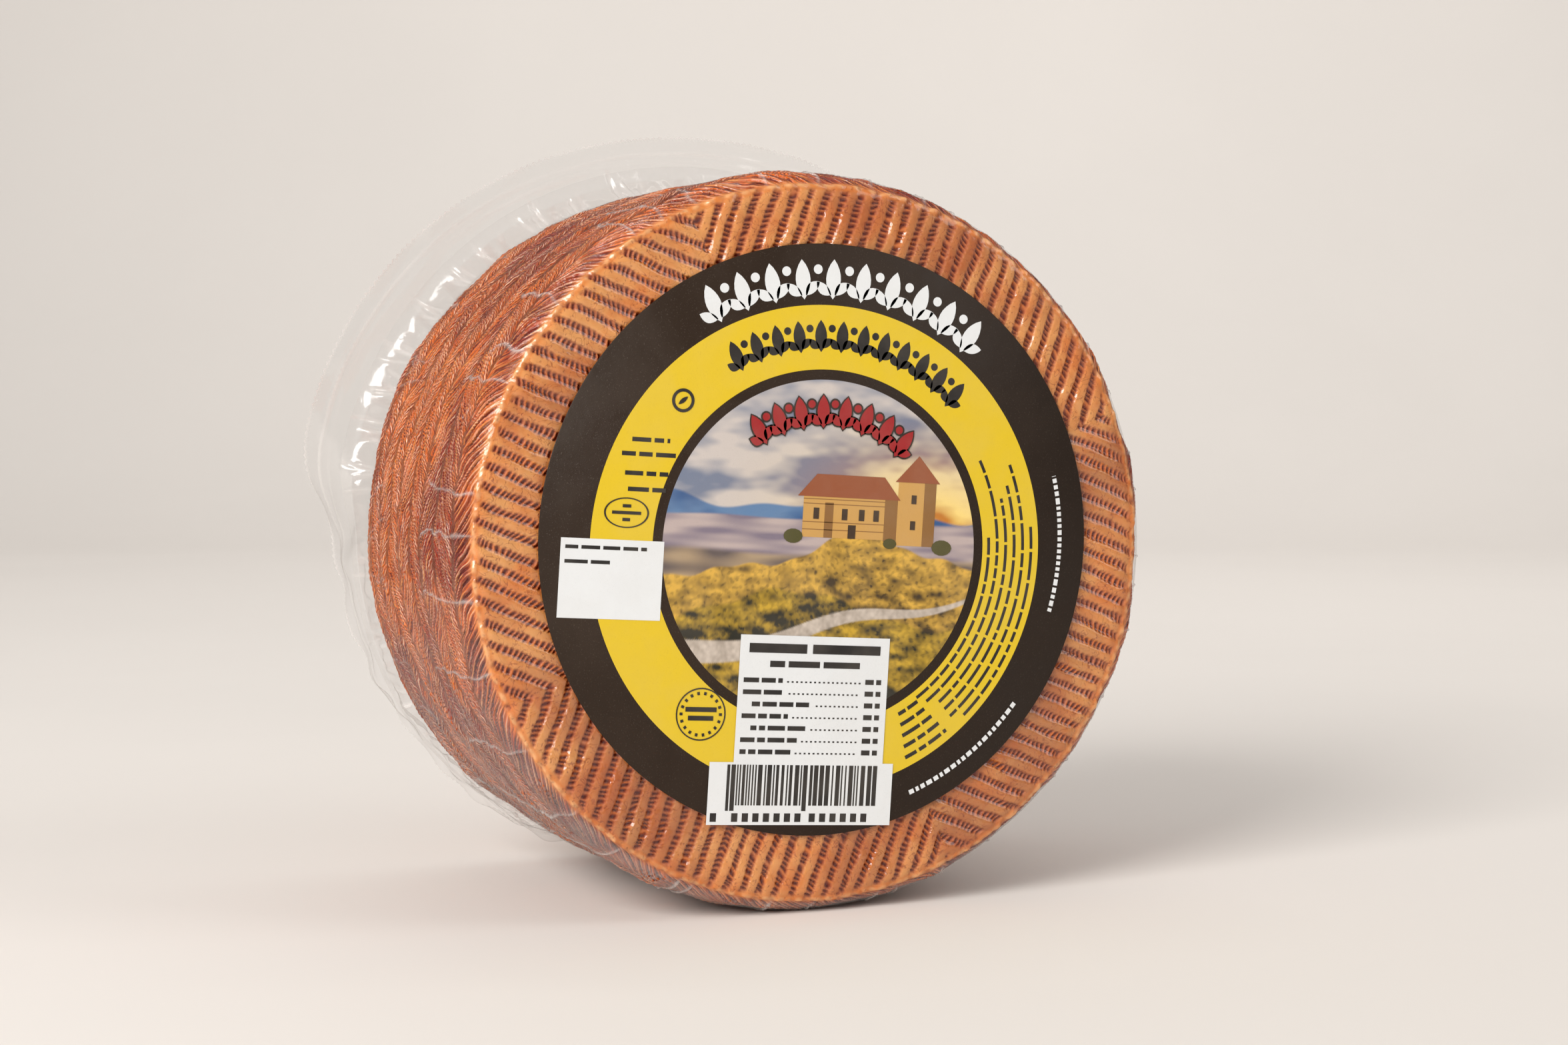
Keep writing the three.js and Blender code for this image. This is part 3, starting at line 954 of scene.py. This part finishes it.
def picture_colours(x, z):
    """Ink colours of a made-up landscape at points counted from its middle.

    Bands are laid over each other from the sky down: a height line for each, made of waves, and a
    colour between two that follows a random field.
    """
    points = np.stack([x, z], axis=-1)

    def shade(dark, light, share):
        share = np.clip(share, 0, 1)[..., None]
        return np.array(srgb(*dark)) * (1 - share) + np.array(srgb(*light)) * share

    def lay(below, colour, mask):
        return below * (1 - mask[..., None]) + colour * mask[..., None]

    def field(places, *layers):
        return sum(share * ripples(places, size, seed, 40) for share, size, seed in layers)

    cloud = field(points * (0.45, 1.3), (1.0, 17, 51), (0.5, 7, 52), (0.25, 3, 53))
    glow = bell(x, 30, 30) * smooth_step(z, 40, -2)
    sky = shade((118, 128, 150), (206, 196, 190), 0.5 + 0.32 * cloud)
    gold = shade((196, 122, 40), (254, 220, 120), 0.55 + 0.34 * cloud)
    colour = lay(sky, gold, np.clip(glow * 1.25, 0, 1))
    far = 11.0 + 1.6 * np.sin(x / 9 + 1) + 0.8 * np.sin(x / 3.7) - 0.03 * x
    hills = shade((52, 88, 138), (96, 130, 170), 0.5 + 0.3 * cloud)
    colour = lay(colour, hills, smooth_step(far - z, -0.3, 0.5))
    streak = ripples(points * (0.2, 1.6), 5, 54)
    mist = shade((128, 116, 132), (190, 172, 168), 0.5 + 0.35 * streak)
    colour = lay(colour, mist, smooth_step(7.6 + 0.25 * np.sin(x / 6) - z, -0.3, 0.4))
    patch = ripples(points * (0.35, 1.2), 6, 55)
    plain = shade((96, 84, 82), (172, 148, 118), 0.5 + 0.35 * patch)
    colour = lay(colour, plain, smooth_step(-1.0 + 0.5 * np.sin(x / 8) - z, -0.5, 1.2))
    tuft = field(points, (0.5, 2.2, 56), (0.5, 6, 57), (0.25, 1.2, 58))
    rock = ripples(np.stack([x * 0.5 + z * 0.6, z * 1.1 - x * 0.25], axis=-1), 4.4, 59, 40)
    hill = -7.0 + 11.0 * bell(x, 13, 24) + 1.2 * np.sin(x / 5) + 0.4 * np.sin(x / 1.7)
    shrub = smooth_step(ripples(points, 1.7, 60, 40) + 0.5 * rock, 0.7, 1.3)
    bright = 0.56 + 0.20 * rock + 0.12 * tuft - 0.26 * shrub + 0.03 * (z - hill + 8).clip(-4, 6)
    slope = shade((62, 46, 22), (224, 176, 70), bright)
    colour = lay(colour, slope, smooth_step(hill - z, -0.2, 0.5))
    middle = -20.5 + 0.22 * x + 1.6 * np.sin(x / 8.0 + 0.6)
    front = -15.0 + 4.5 * np.sin(x / 13 + 2.2) + 0.8 * np.sin(x / 3)
    shadow = 0.45 * smooth_step(middle + 9 - z, 0, 6) * smooth_step(z - middle, 0, 3)
    bright = 0.54 + 0.14 * tuft + 0.22 * rock - 0.24 * shrub - shadow
    grass = shade((28, 26, 10), (204, 164, 46), bright)
    colour = lay(colour, grass, smooth_step(front - z, -0.3, 1.0))
    width = 0.6 + 0.032 * (43 - x).clip(0)
    road = smooth_step(width - np.abs(z - middle), -0.2, 0.3)
    return lay(colour, shade((150, 136, 122), (214, 200, 186), 0.6 + 0.2 * tuft), road)


def farmhouse():
    """A plain stone farmhouse with a round pigeon tower, as (level, colour, shapes) groups."""
    walls = [box_shape(-2, 17, 3.5, 12.5), box_shape(20, 29, 2.5, 16.5)]
    shaded = [box_shape(17, 20, 3.2, 12.5), box_shape(26.2, 29, 2.5, 16.5), box_shape(3, 5, 3.5, 11)]
    roofs = [
        np.array([(-3.4, 12.2), (20.6, 12.2), (16.6, 17.0), (0.8, 17.0)]),
        np.array([(19.2, 16.2), (29.8, 16.2), (24.5, 22.0)]),
    ]
    windows = [box_shape(x, x + 1.3, 7.4, 9.8) for x in (0.4, 7.0, 11.0, 14.4)]
    windows += [box_shape(23.2, 24.4, z, z + 1.9) for z in (6.0, 11.6)]
    windows.append(box_shape(8.6, 10.4, 3.5, 6.4))
    rows = [box_shape(-2, 17, z, z + 0.16) for z in (5.1, 6.7, 10.6, 11.6)]
    places = ((-4, 3.6, 2.2), (31, 2.4, 2.4), (18.6, 2.8, 1.6))
    bushes = [moved(round_shape(wide, wide * 0.7, 14), (x, z)) for x, z, wide in places]
    groups = [
        (3, srgb(206, 158, 86), walls), (4, srgb(142, 100, 52), shaded + rows),
        (5, srgb(150, 82, 48), roofs), (5, srgb(62, 44, 28), windows), (6, srgb(78, 74, 30), bushes),
    ]
    place = np.add(PRINT_CENTRE, FARM_PLACE)
    return [
        (level, colour, [moved(shape, place, 0, FARM_SIZE) for shape in shapes])
        for level, colour, shapes in groups
    ]


# ---------------------------------------------------------------- settings


def size_property(name, description, value, low, high):
    """A length in metres."""
    return FloatProperty(name=name, description=description, default=value, min=low, max=high,
                         unit="LENGTH")


def power_property(name, description, value):
    """A light's power or strength."""
    return FloatProperty(name=name, description=description, default=value, min=0)


def colour_property(name, description, *screen):
    """A colour, given in screen values."""
    return FloatVectorProperty(name=name, description=description, default=srgb(*screen), size=3,
                               subtype="COLOR", min=0.0, max=1.0)


class CheeseSizes(bpy.types.PropertyGroup):
    """Sizes of the pattern pressed into the rind."""

    groove_pitch: size_property("Groove pitch", "Distance between grooves", 0.00444, 0.003, 0.008)
    groove_depth: size_property("Groove depth", "Depth of the pits", 0.0014, 0.0003, 0.003)
    cord_pitch: size_property("Rib pitch", "Distance between ribs", 0.00138, 0.0008, 0.003)
    pocket_depth: size_property("Pocket depth", "Depth of the plait's pockets", 0.0013, 0.0002, 0.003)
    stroke_reach: FloatProperty(name="Stroke reach", default=0.9, min=0.0, max=8.0,
                                description="How flat a plait stroke starts along its row")


class PackColours(bpy.types.PropertyGroup):
    """Colours of the rind, the film, the label and the room."""

    band: colour_property("Band", "Smooth bands of the face", 228, 160, 94)
    band_shade: colour_property("Band shade", "Darker patches of the bands", 214, 124, 58)
    rib: colour_property("Rib", "Tops of the cord in the grooves", 200, 112, 66)
    pit: colour_property("Pit", "Stained pits", 122, 16, 4)
    rim: colour_property("Rim", "Smooth rim outside the grooves", 222, 118, 30)
    # Colour of the painted highlight along the bead of the front edge.
    crest: colour_property("Crest", "Rubbed bead along the front edge", 244, 196, 140)
    plait: colour_property("Plait", "Side of the wheel", 242, 116, 36)
    plait_light: colour_property("Plait light", "Raised strokes of the plait", 252, 170, 90)
    plait_stain: colour_property("Plait stain", "Dark red patches of the side", 170, 48, 16)
    pocket: colour_property("Pocket", "Pockets between the strokes", 112, 20, 6)
    # Colour of the painted sheen and painted highlight lines on the fronts of the plait's rows.
    pale: colour_property("Pale", "Rubbed fronts of the rows", 248, 210, 184)
    # Colour of the milky film, which also shows the painted highlight of creases and pleats and the
    # painted light over the lower side.
    film: colour_property("Milky film", "Creased film", 240, 235, 231)
    label_dark: colour_property("Label", "Dark brown print", 45, 33, 24)
    label_dark_rubbed: colour_property("Label, rubbed", "Rubbed dark print", 62, 50, 41)
    label_scuff: colour_property("Label scuffs", "Small scuffs of the print", 120, 108, 96)
    label_yellow: colour_property("Yellow print", "Yellow ring", 228, 194, 30)
    label_white: colour_property("White print", "White fields", 232, 234, 235)
    label_black: colour_property("Black print", "Greeked lines and bars", 30, 26, 24)
    label_red: colour_property("Red print", "Red ornament", 160, 26, 30)
    floor: colour_property("Floor", "Floor and backdrop", 237, 232, 227)
    floor_shade: colour_property("Floor shade", "Slightly darker patches", 232, 227, 222)


class RoomSizes(bpy.types.PropertyGroup):
    """The stage."""

    room: size_property("Room", "Half the floor's width", 4.0, 1.0, 10.0)
    backdrop: size_property("Backdrop", "Distance from the wheel to the backdrop", 1.5, 0.5, 5.0)
    lens: FloatProperty(name="Lens", description="In millimetres", default=60.6, min=20, max=200)
    key_power: power_property("Key light", "Power of the large soft light", 29.5)
    fill_power: power_property("Fill light", "Power of the fill light", 3.5)
    back_power: power_property("Backdrop light", "Power of the light on the backdrop", 17.0)
    world: power_property("Room light", "Strength of the even room light", 0.38)
    seed: IntProperty(name="Print seed", description="Draw of the greeked lines", default=61, min=0)


# ---------------------------------------------------------------- operators


class CHEESE_OT_wheel(bpy.types.Operator):
    """Builds the cheese: its face, the two belts of its plaited side, its back edge and its back"""

    bl_idname = "cheese_wheel.build_wheel"
    bl_label = "Cheese"

    def execute(self, context):
        sizes, colours = context.scene.cheese_sizes, context.scene.cheese_colours
        material = rind_material(colours)
        outline = joined(
            face_zone(FACE_START, FACE_RADIUS, 40), corner_zone(0, 90, 30),
            side_zone(CORNER_DEPTH, BACK_ROUND_START, 120), back_edge_zone(0, 90, 31),
            back_zone(BACK_FLAT_RADIUS, BACK_SPLIT_RADIUS, 33),
        )
        angle = angles(COLUMNS)
        relief, masks, strokes = cheese_surface(outline, angle, sizes)
        del masks["sag"]
        plain = np.maximum(past_label(outline[0]), outline[1] > CORNER_DEPTH)[:, None]
        relief = relief * plain - RIND_INSET
        relief[-1, 1::2] = (relief[-1, 0::2] + np.roll(relief[-1, 0::2], -1)) / 2
        points = wheel_points(outline, angle, relief, RIND_LIFT)
        normals = grid_normals(points)
        last_row = len(points) - 1
        # first and last row of each piece
        belts = {
            "cheese_front": (0, 60), "cheese_side_front": (60, 127),
            "cheese_side_back": (127, 190), "cheese_back_edge": (190, last_row),
        }
        for name, (first, last) in belts.items():
            rows = slice(first, last + 1)
            part = {mask: values[rows] for mask, values in masks.items()}
            grid = points[rows], normals[rows], part, strokes[rows]
            self.add_belt(name, tucked(*grid, -1) if last == last_row else grid, material)
        outline = joined(back_zone(BACK_SPLIT_RADIUS, BACK_HOLE, 101))
        angle = angles(COARSE_COLUMNS)
        relief, masks, strokes = cheese_surface(outline, angle, sizes)
        del masks["sag"]
        points = wheel_points(outline, angle, relief - RIND_INSET, RIND_LIFT)
        self.add_belt("cheese_back", tucked(points, grid_normals(points), masks, strokes, 0), material)
        return {"FINISHED"}

    def add_belt(self, name, grid, material):
        """One piece of the cheese from its points, normals, masks and stroke places."""
        points, normals, masks, strokes = grid
        piece = add_grid(name, points, normals, masks=masks, strokes=strokes)
        on_frame(piece, "cheese_wheel", material)


class CHEESE_OT_formed_film(bpy.types.Operator):
    """Builds the formed film over the face and the side, and its flange"""

    bl_idname = "cheese_wheel.build_formed_film"
    bl_label = "Formed film"

    def execute(self, context):
        sizes, colours = context.scene.cheese_sizes, context.scene.cheese_colours
        material = film_material(colours)
        outline = joined(
            face_zone(FACE_START, FACE_RADIUS, 40), corner_zone(0, 90, 15),
            side_zone(CORNER_DEPTH, FLANGE_START, 62), side_zone(FLANGE_START, FLANGE_START, 1),
        )
        angle = angles(COLUMNS)
        # white carries the creases' milkiness and painted highlight, and the painted light over the
        # lower side.
        relief, white, side, strokes = film_surface(outline, angle, sizes)
        relief = relief * past_label(outline[0])[:, None] - RIND_INSET
        points = wheel_points(outline, angle, relief, FILM_LIFT)
        along = np.linspace(0, 1, 31)[1:, None] * sheet_length(angle)
        along = along + PINKING * smooth_step(along, 17, 21) * np.cos(TEETH * angle)
        radius, depth, out_radius, out_depth = flange_grid(angle, along, 0.0)
        height, milky = flange_waves(angle, along, sheet_length(angle))
        height = height + relief[-1] * (1 - smooth_step(along, 0, 4))
        height += slump(PACK_RADIUS, FLANGE_START, angle) * (1 - smooth_step(along, 0, 8))
        radius, depth = radius + out_radius * height, depth + out_depth * height
        points = np.concatenate([points, round_points(radius, depth, angle, FILM_LIFT)])
        white = np.concatenate([white, milky])
        side = np.concatenate([side, np.zeros_like(milky)])
        strokes = np.concatenate([strokes, np.zeros((*milky.shape, 2))])
        normals = grid_normals(points)
        belts = {"film_face": (0, 55), "film_side": (55, 117), "film_flange": (117, len(points) - 1)}
        for name, (first, last) in belts.items():
            rows = slice(first, last + 1)
            part = {"white": white[rows], "side": side[rows]}
            piece = add_grid(name, points[rows], normals[rows], first == 0, False, part, strokes[rows])
            on_frame(piece, "formed_film", material)
        return {"FINISHED"}


class CHEESE_OT_backing_film(bpy.types.Operator):
    """Builds the backing film, from its weld on the flange over the back edge and the back"""

    bl_idname = "cheese_wheel.build_backing_film"
    bl_label = "Backing film"

    def execute(self, context):
        sizes, colours = context.scene.cheese_sizes, context.scene.cheese_colours
        material = film_material(colours)
        angle = angles(COARSE_COLUMNS)
        along = np.linspace(WELD_START + WELD_OVERLAP, WELD_START, 8)[:, None]
        radius, depth, _, _ = flange_grid(angle, along, FILM_GAP)
        weld = round_points(radius, depth, angle, FILM_LIFT + FILM_GAP)
        outline = joined(back_edge_zone(34, 90, 22), back_zone(BACK_FLAT_RADIUS, BACK_HOLE, 92))
        # white carries the creases' painted highlight and the painted light over the lower side.
        relief, white, _, _ = film_surface(outline, angle, sizes)
        turn = np.stack([np.cos(angle), np.sin(angle)], axis=-1)
        folds = ripples(turn * PACK_RADIUS, 5.5, 71) * smooth_step(outline[0], 74, 90)[:, None]
        relief = np.minimum(relief + 0.35 * np.abs(folds), 0.8) - RIND_INSET
        over = wheel_points(outline, angle, relief, FILM_LIFT + FILM_GAP)
        across = np.linspace(0, 1, 12)[1:-1, None, None]
        bridge = weld[-1] * (1 - across) + over[0] * across
        points = np.concatenate([weld, bridge, over])
        on_weld = np.full(weld.shape[:2], 0.15)
        on_bridge = np.repeat(0.25 * smooth_step(np.abs(folds[:1]), 0.9, 1.8), len(bridge), axis=0)
        white = np.concatenate([on_weld, on_bridge, white + 0.3 * (np.abs(folds) > 1.5)])
        masks = {"white": white}
        piece = add_grid("film_backing", points, grid_normals(points), False, True, masks)
        on_frame(piece, "backing_film", material)
        return {"FINISHED"}


class CHEESE_OT_label(bpy.types.Operator):
    """Builds the label's paper, a thin disc with rounded edges"""

    bl_idname = "cheese_wheel.build_label"
    bl_label = "Label paper"

    def execute(self, context):
        colours = context.scene.cheese_colours
        radius = (LABEL_HIGH.x - LABEL_LOW.x) / 2
        wide, deep = PAPER_ROUNDING
        across = np.array([radius - wide, radius, radius, radius - wide])
        back = np.array([0.0, deep, PAPER_THICKNESS - deep, PAPER_THICKNESS])
        angle = angles(COARSE_COLUMNS // 2)
        x = across[:, None] * np.cos(angle)
        z = LABEL_HEIGHT + across[:, None] * np.sin(angle)
        points = np.stack([x, LABEL_FRONT + back[:, None] + 0 * x, z], axis=-1)
        disc = add_grid("label_paper", points, grid_normals(points))
        on_frame(disc, "round_label", paper_material(colours))
        return {"FINISHED"}


class CHEESE_OT_print(bpy.types.Operator):
    """Builds the print on the label: rings, picture, white fields, greeked lines and ornaments"""

    bl_idname = "cheese_wheel.build_print"
    bl_label = "Label print"

    def execute(self, context):
        colours, room = context.scene.cheese_colours, context.scene.cheese_room
        rng = np.random.default_rng(room.seed)
        ink = ink_material()
        white, black = tuple(colours.label_white), tuple(colours.label_black)
        yellow, dark = tuple(colours.label_yellow), tuple(colours.label_dark)
        red = tuple(colours.label_red)
        ring = [arc_shape(*YELLOW_RING, a, a + 3) for a in range(0, 360, 3)]
        picture = self.picture()
        date_field = box_shape(-70.0, -43.0, -21.8, -2.0)
        table_field = box_shape(-21.0, 20.5, -57.0, -24.5)
        bar_field = box_shape(-27.5, 23.5, -73.0, -57.0)
        pieces = {
            "label_yellow_ring": [(1, yellow, ring)],
            "label_farmhouse": farmhouse(),
            "label_fields": [(3, white, [date_field]), (7, white, [table_field, bar_field])],
            "label_table_print": [(8, black, self.table_lines(rng) + self.bars(rng))],
            "label_small_print": [
                (2, black, self.small_lines(rng)), (1, white, self.white_lines(rng)),
                (4, black, self.date_lines(rng)),
            ],
            "label_marks": [(4, black, self.marks())],
            "label_white_garland": [(1, white, garland(68.9, 56.0, 119.0, 10, 10.2))],
            "label_black_garland": [(2, black, garland(54.4, 50.0, 119.0, 12, 8.2))],
            "label_red_garland": [
                (7, dark, garland(35.2, 53, 123, 8, 8.4, 0.9)),
                (8, red, garland(35.2, 53, 123, 8, 8.4)),
            ],
        }
        for name, groups in pieces.items():
            on_frame(add_shapes(name, groups), "round_label", ink)
        on_frame(picture, "round_label", ink)
        return {"FINISHED"}

    def picture(self):
        """The round picture, a polar grid whose points carry the landscape's ink."""
        angle = angles(COARSE_COLUMNS)
        radius = np.linspace(0.3, PICTURE_RADIUS, 118)[:, None]
        x, z = radius * np.cos(angle), radius * np.sin(angle)
        points = on_label(np.stack([x, z], axis=-1) + PRINT_CENTRE, PICTURE_LEVEL)
        piece = add_grid("label_picture", points, grid_normals(points), True, False)
        add_ink(piece, np.concatenate([picture_colours(x, z), np.ones((*x.shape, 1))], axis=-1))
        return piece

    def table_lines(self, rng):
        """Two heading bars, and seven rows of a word bar, a dotted leader and a short value bar."""
        shapes = [box_shape(a, b, -29.0, -26.6) for a, b in ((-18.5, -2.6), (-1.0, 18.0))]
        shapes += [box_shape(a, b, -32.6, -31.0) for a, b in ((-12.6, -8.5), (-7.5, 1.2), (2.2, 12.4))]
        for row in range(7):
            low = TABLE_TOP - TABLE_STEP * row
            left = TABLE_LEFT + (2.6 if row in (2, 4) else 0.0)
            end = left + rng.uniform(7, 17)
            shapes += box_words(rng, left, end, low, 1.2, (1.6, 5.0, 0.7))
            for x in np.arange(end + 1.2, 12.5, 1.25):
                shapes.append(box_shape(x, x + 0.55, low + 0.1, low + 0.5))
            shapes += [box_shape(14.2, 16.6, low, low + 1.3), box_shape(17.3, 18.7, low, low + 1.3)]
        return shapes

    def bars(self, rng):
        """Upright bars of uneven width, longer at the ends and the middle, over a row of short bars."""
        shapes, at = [], BARS_LEFT
        while at < BARS_RIGHT:
            wide = rng.choice([0.4, 0.8, 1.2])
            longer = abs(at - BARS_LEFT) < 1.6 or abs(at + 1.2) < 0.9 or at > BARS_RIGHT - 1.4
            shapes.append(box_shape(at, at + wide, -69.4 if longer else -68.0, -57.6))
            at += wide + rng.choice([0.33, 0.4, 0.66])
        for x in [-26.6, *np.arange(-20.8, -3, 2.9), *np.arange(0.6, 18, 2.9)]:
            shapes.append(box_shape(x, x + 1.7, -72.2, -70.0))
        return shapes

    def small_lines(self, rng):
        """Greeked lines on the yellow ring."""
        shapes = []
        ends = ((-44, 8), (-47, 25), (-47, 20), (-47, 17), (-50, 30), (-52, 6))
        for row, (first, last) in enumerate(ends):
            shapes += arc_words(rng, 60.2 - 2.5 * row, first, last, 0.42, (2, 8, 0.8))
        for row in range(5):
            first, last = -63 + row * 0.8, -50 - row * 0.6
            shapes += arc_words(rng, 59.8 - 2.8 * row, first, last, 0.5, (2, 6, 0.8))
        lines = ((22.6, -53.0, -43.0), (19.0, -55.5, -41.3), (14.2, -54.4, -43), (10.2, -53.4, -43.4))
        for low, left, right in lines:
            shapes += box_words(rng, left, right, low, 1.1, (2.5, 6, 0.9))
        return shapes

    def date_lines(self, rng):
        """Two greeked lines at the top of the date field."""
        first = box_words(rng, -68.8, -47.5, -4.6, 0.9, (3, 8, 0.8))
        return first + box_words(rng, -68.8, -57.0, -8.2, 0.9, (3, 8, 0.8))

    def white_lines(self, rng):
        """Two short lines on the dark ring, at the right and the lower right."""
        right = arc_words(rng, 68.4, -13.5, 17.0, 0.6, (0.7, 1.4, 0.5), (0, 0))
        return right + arc_words(rng, 70.6, -66.0, -35.0, 0.6, (0.7, 1.4, 0.5), (0, 0))

    def marks(self):
        """The oval, the ring and the round stamp of the yellow ring, each with plain marks inside."""
        oval = moved(round_shape(5.9, 3.8, 40), (-53.4, 4.8))
        shapes = ring_outline(oval, 0.45)
        for left, right, low in ((-54.5, -52.3, 6.1), (-57.2, -49.6, 4.4), (-54.4, -52.4, 2.7)):
            shapes.append(box_shape(left, right, low, low + 0.8))
        ring = (-40.2, 33.5)
        shapes += ring_outline(moved(round_shape(3.0, steps=32), ring), 0.8)
        shapes.append(moved(leaf_shape(3.2, 1.1), ring, 40))
        stamp = np.array([-30.6, -45.0])
        shapes += ring_outline(moved(round_shape(6.7, steps=48), stamp), 0.35)
        for degrees in range(0, 360, 20):
            shapes.append(on_arc(box_shape(-0.35, 0.35, -0.4, 0.4), 5.3, degrees, stamp))
        shapes += [box_shape(-4.2, 4.2, 0.6, 1.8) + stamp, box_shape(-3.4, 3.4, -1.6, -0.4) + stamp]
        return shapes


class CHEESE_OT_stage(bpy.types.Operator):
    """Builds the pale floor and backdrop, the soft lights and the camera"""

    bl_idname = "cheese_wheel.build_stage"
    bl_label = "Stage"

    def execute(self, context):
        scene = context.scene
        colours, room = scene.cheese_colours, scene.cheese_room
        view = Vector(CAMERA_VIEW).normalized()
        ahead = np.array([view.x, view.y]) / np.hypot(view.x, view.y)
        beside = np.array([ahead[1], -ahead[0]])
        rise = np.radians(np.linspace(0, 90, 24))
        run = np.concatenate([[-room.room], room.backdrop + COVE_RADIUS * np.sin(rise)])
        up = np.concatenate([[0.0], COVE_RADIUS * (1 - np.cos(rise)), [COVE_HEIGHT]])
        run = np.append(run, run[-1])
        wide = np.array([-room.room, room.room])[:, None]
        x, y = (wide * beside[axis] + run * ahead[axis] for axis in (0, 1))
        points = np.stack([x, y, up + 0 * wide], axis=-1)
        count = len(run)
        near = np.arange(count - 1)
        faces = np.stack([near, near + count, near + count + 1, near + 1], axis=-1)[:, ::-1]
        floor = add_mesh("floor", points.reshape(-1, 3) / MM, faces.tolist())
        floor.data.flip_normals()
        floor.data.materials.append(backdrop_material(colours))

        def aimed(name, data, place, direction):
            holder = bpy.data.objects.new(name, data)
            holder.location = place
            holder.rotation_euler = direction.to_track_quat("-Z", "Y").to_euler()
            scene.collection.objects.link(holder)
            return holder

        def softbox(name, place, target, size, power, colour):
            lamp = bpy.data.lights.new(name, "AREA")
            lamp.shape, lamp.size, lamp.size_y = "RECTANGLE", size[0], size[1]
            lamp.energy, lamp.color = power, colour
            aimed(name, lamp, place, Vector(target) - Vector(place))

        middle = (0.0, 0.0, AXIS_HEIGHT * MM)
        softbox("key light", KEY_PLACE, middle, KEY_SIZE, room.key_power, KEY_COLOUR)
        softbox("fill light", FILL_PLACE, middle, FILL_SIZE, room.fill_power, FILL_COLOUR)
        behind = (*(ahead * 0.55 + beside * 0.35), 1.7)
        goal = (*(ahead * 2.4 + beside * 0.35), 0.75)
        softbox("backdrop light", behind, goal, BACK_SIZE, room.back_power, BACK_COLOUR)
        world = bpy.data.worlds.new("Room light")
        world.use_nodes = True
        background = world.node_tree.nodes["Background"]
        background.inputs["Color"].default_value = ROOM_COLOUR
        background.inputs["Strength"].default_value = room.world
        scene.world = world
        scene.view_settings.view_transform = "Standard"
        camera = bpy.data.cameras.new("camera")
        camera.lens, camera.sensor_width = room.lens, SENSOR_WIDTH
        scene.camera = aimed("camera", camera, CAMERA_PLACE, view)
        return {"FINISHED"}


class CHEESE_PT_panel(bpy.types.Panel):
    """Lists the builders and their settings"""

    bl_label = "Cheese Wheel"
    bl_idname = "CHEESE_PT_panel"
    bl_space_type = "VIEW_3D"
    bl_region_type = "UI"
    bl_category = "Cheese Wheel"

    def draw(self, context):
        for builder in BUILDERS:
            self.layout.operator(builder.bl_idname)
        for settings in ("cheese_sizes", "cheese_colours", "cheese_room"):
            group = getattr(context.scene, settings)
            box = self.layout.box()
            for name in group.__annotations__:
                box.prop(group, name)


SETTINGS = {"cheese_sizes": CheeseSizes, "cheese_colours": PackColours, "cheese_room": RoomSizes}
BUILDERS = (CHEESE_OT_wheel, CHEESE_OT_formed_film, CHEESE_OT_backing_film, CHEESE_OT_label,
            CHEESE_OT_print, CHEESE_OT_stage)


def register():
    for name, group in SETTINGS.items():
        bpy.utils.register_class(group)
        setattr(bpy.types.Scene, name, PointerProperty(type=group))
    for item in (*BUILDERS, CHEESE_PT_panel):
        bpy.utils.register_class(item)


def unregister():
    for item in reversed((*BUILDERS, CHEESE_PT_panel)):
        bpy.utils.unregister_class(item)
    for name, group in SETTINGS.items():
        delattr(bpy.types.Scene, name)
        bpy.utils.unregister_class(group)


def main():
    register()
    bpy.ops.cheese_wheel.build_wheel()
    bpy.ops.cheese_wheel.build_formed_film()
    bpy.ops.cheese_wheel.build_backing_film()
    bpy.ops.cheese_wheel.build_label()
    bpy.ops.cheese_wheel.build_print()
    bpy.ops.cheese_wheel.build_stage()


if __name__ == "__main__":
    main()
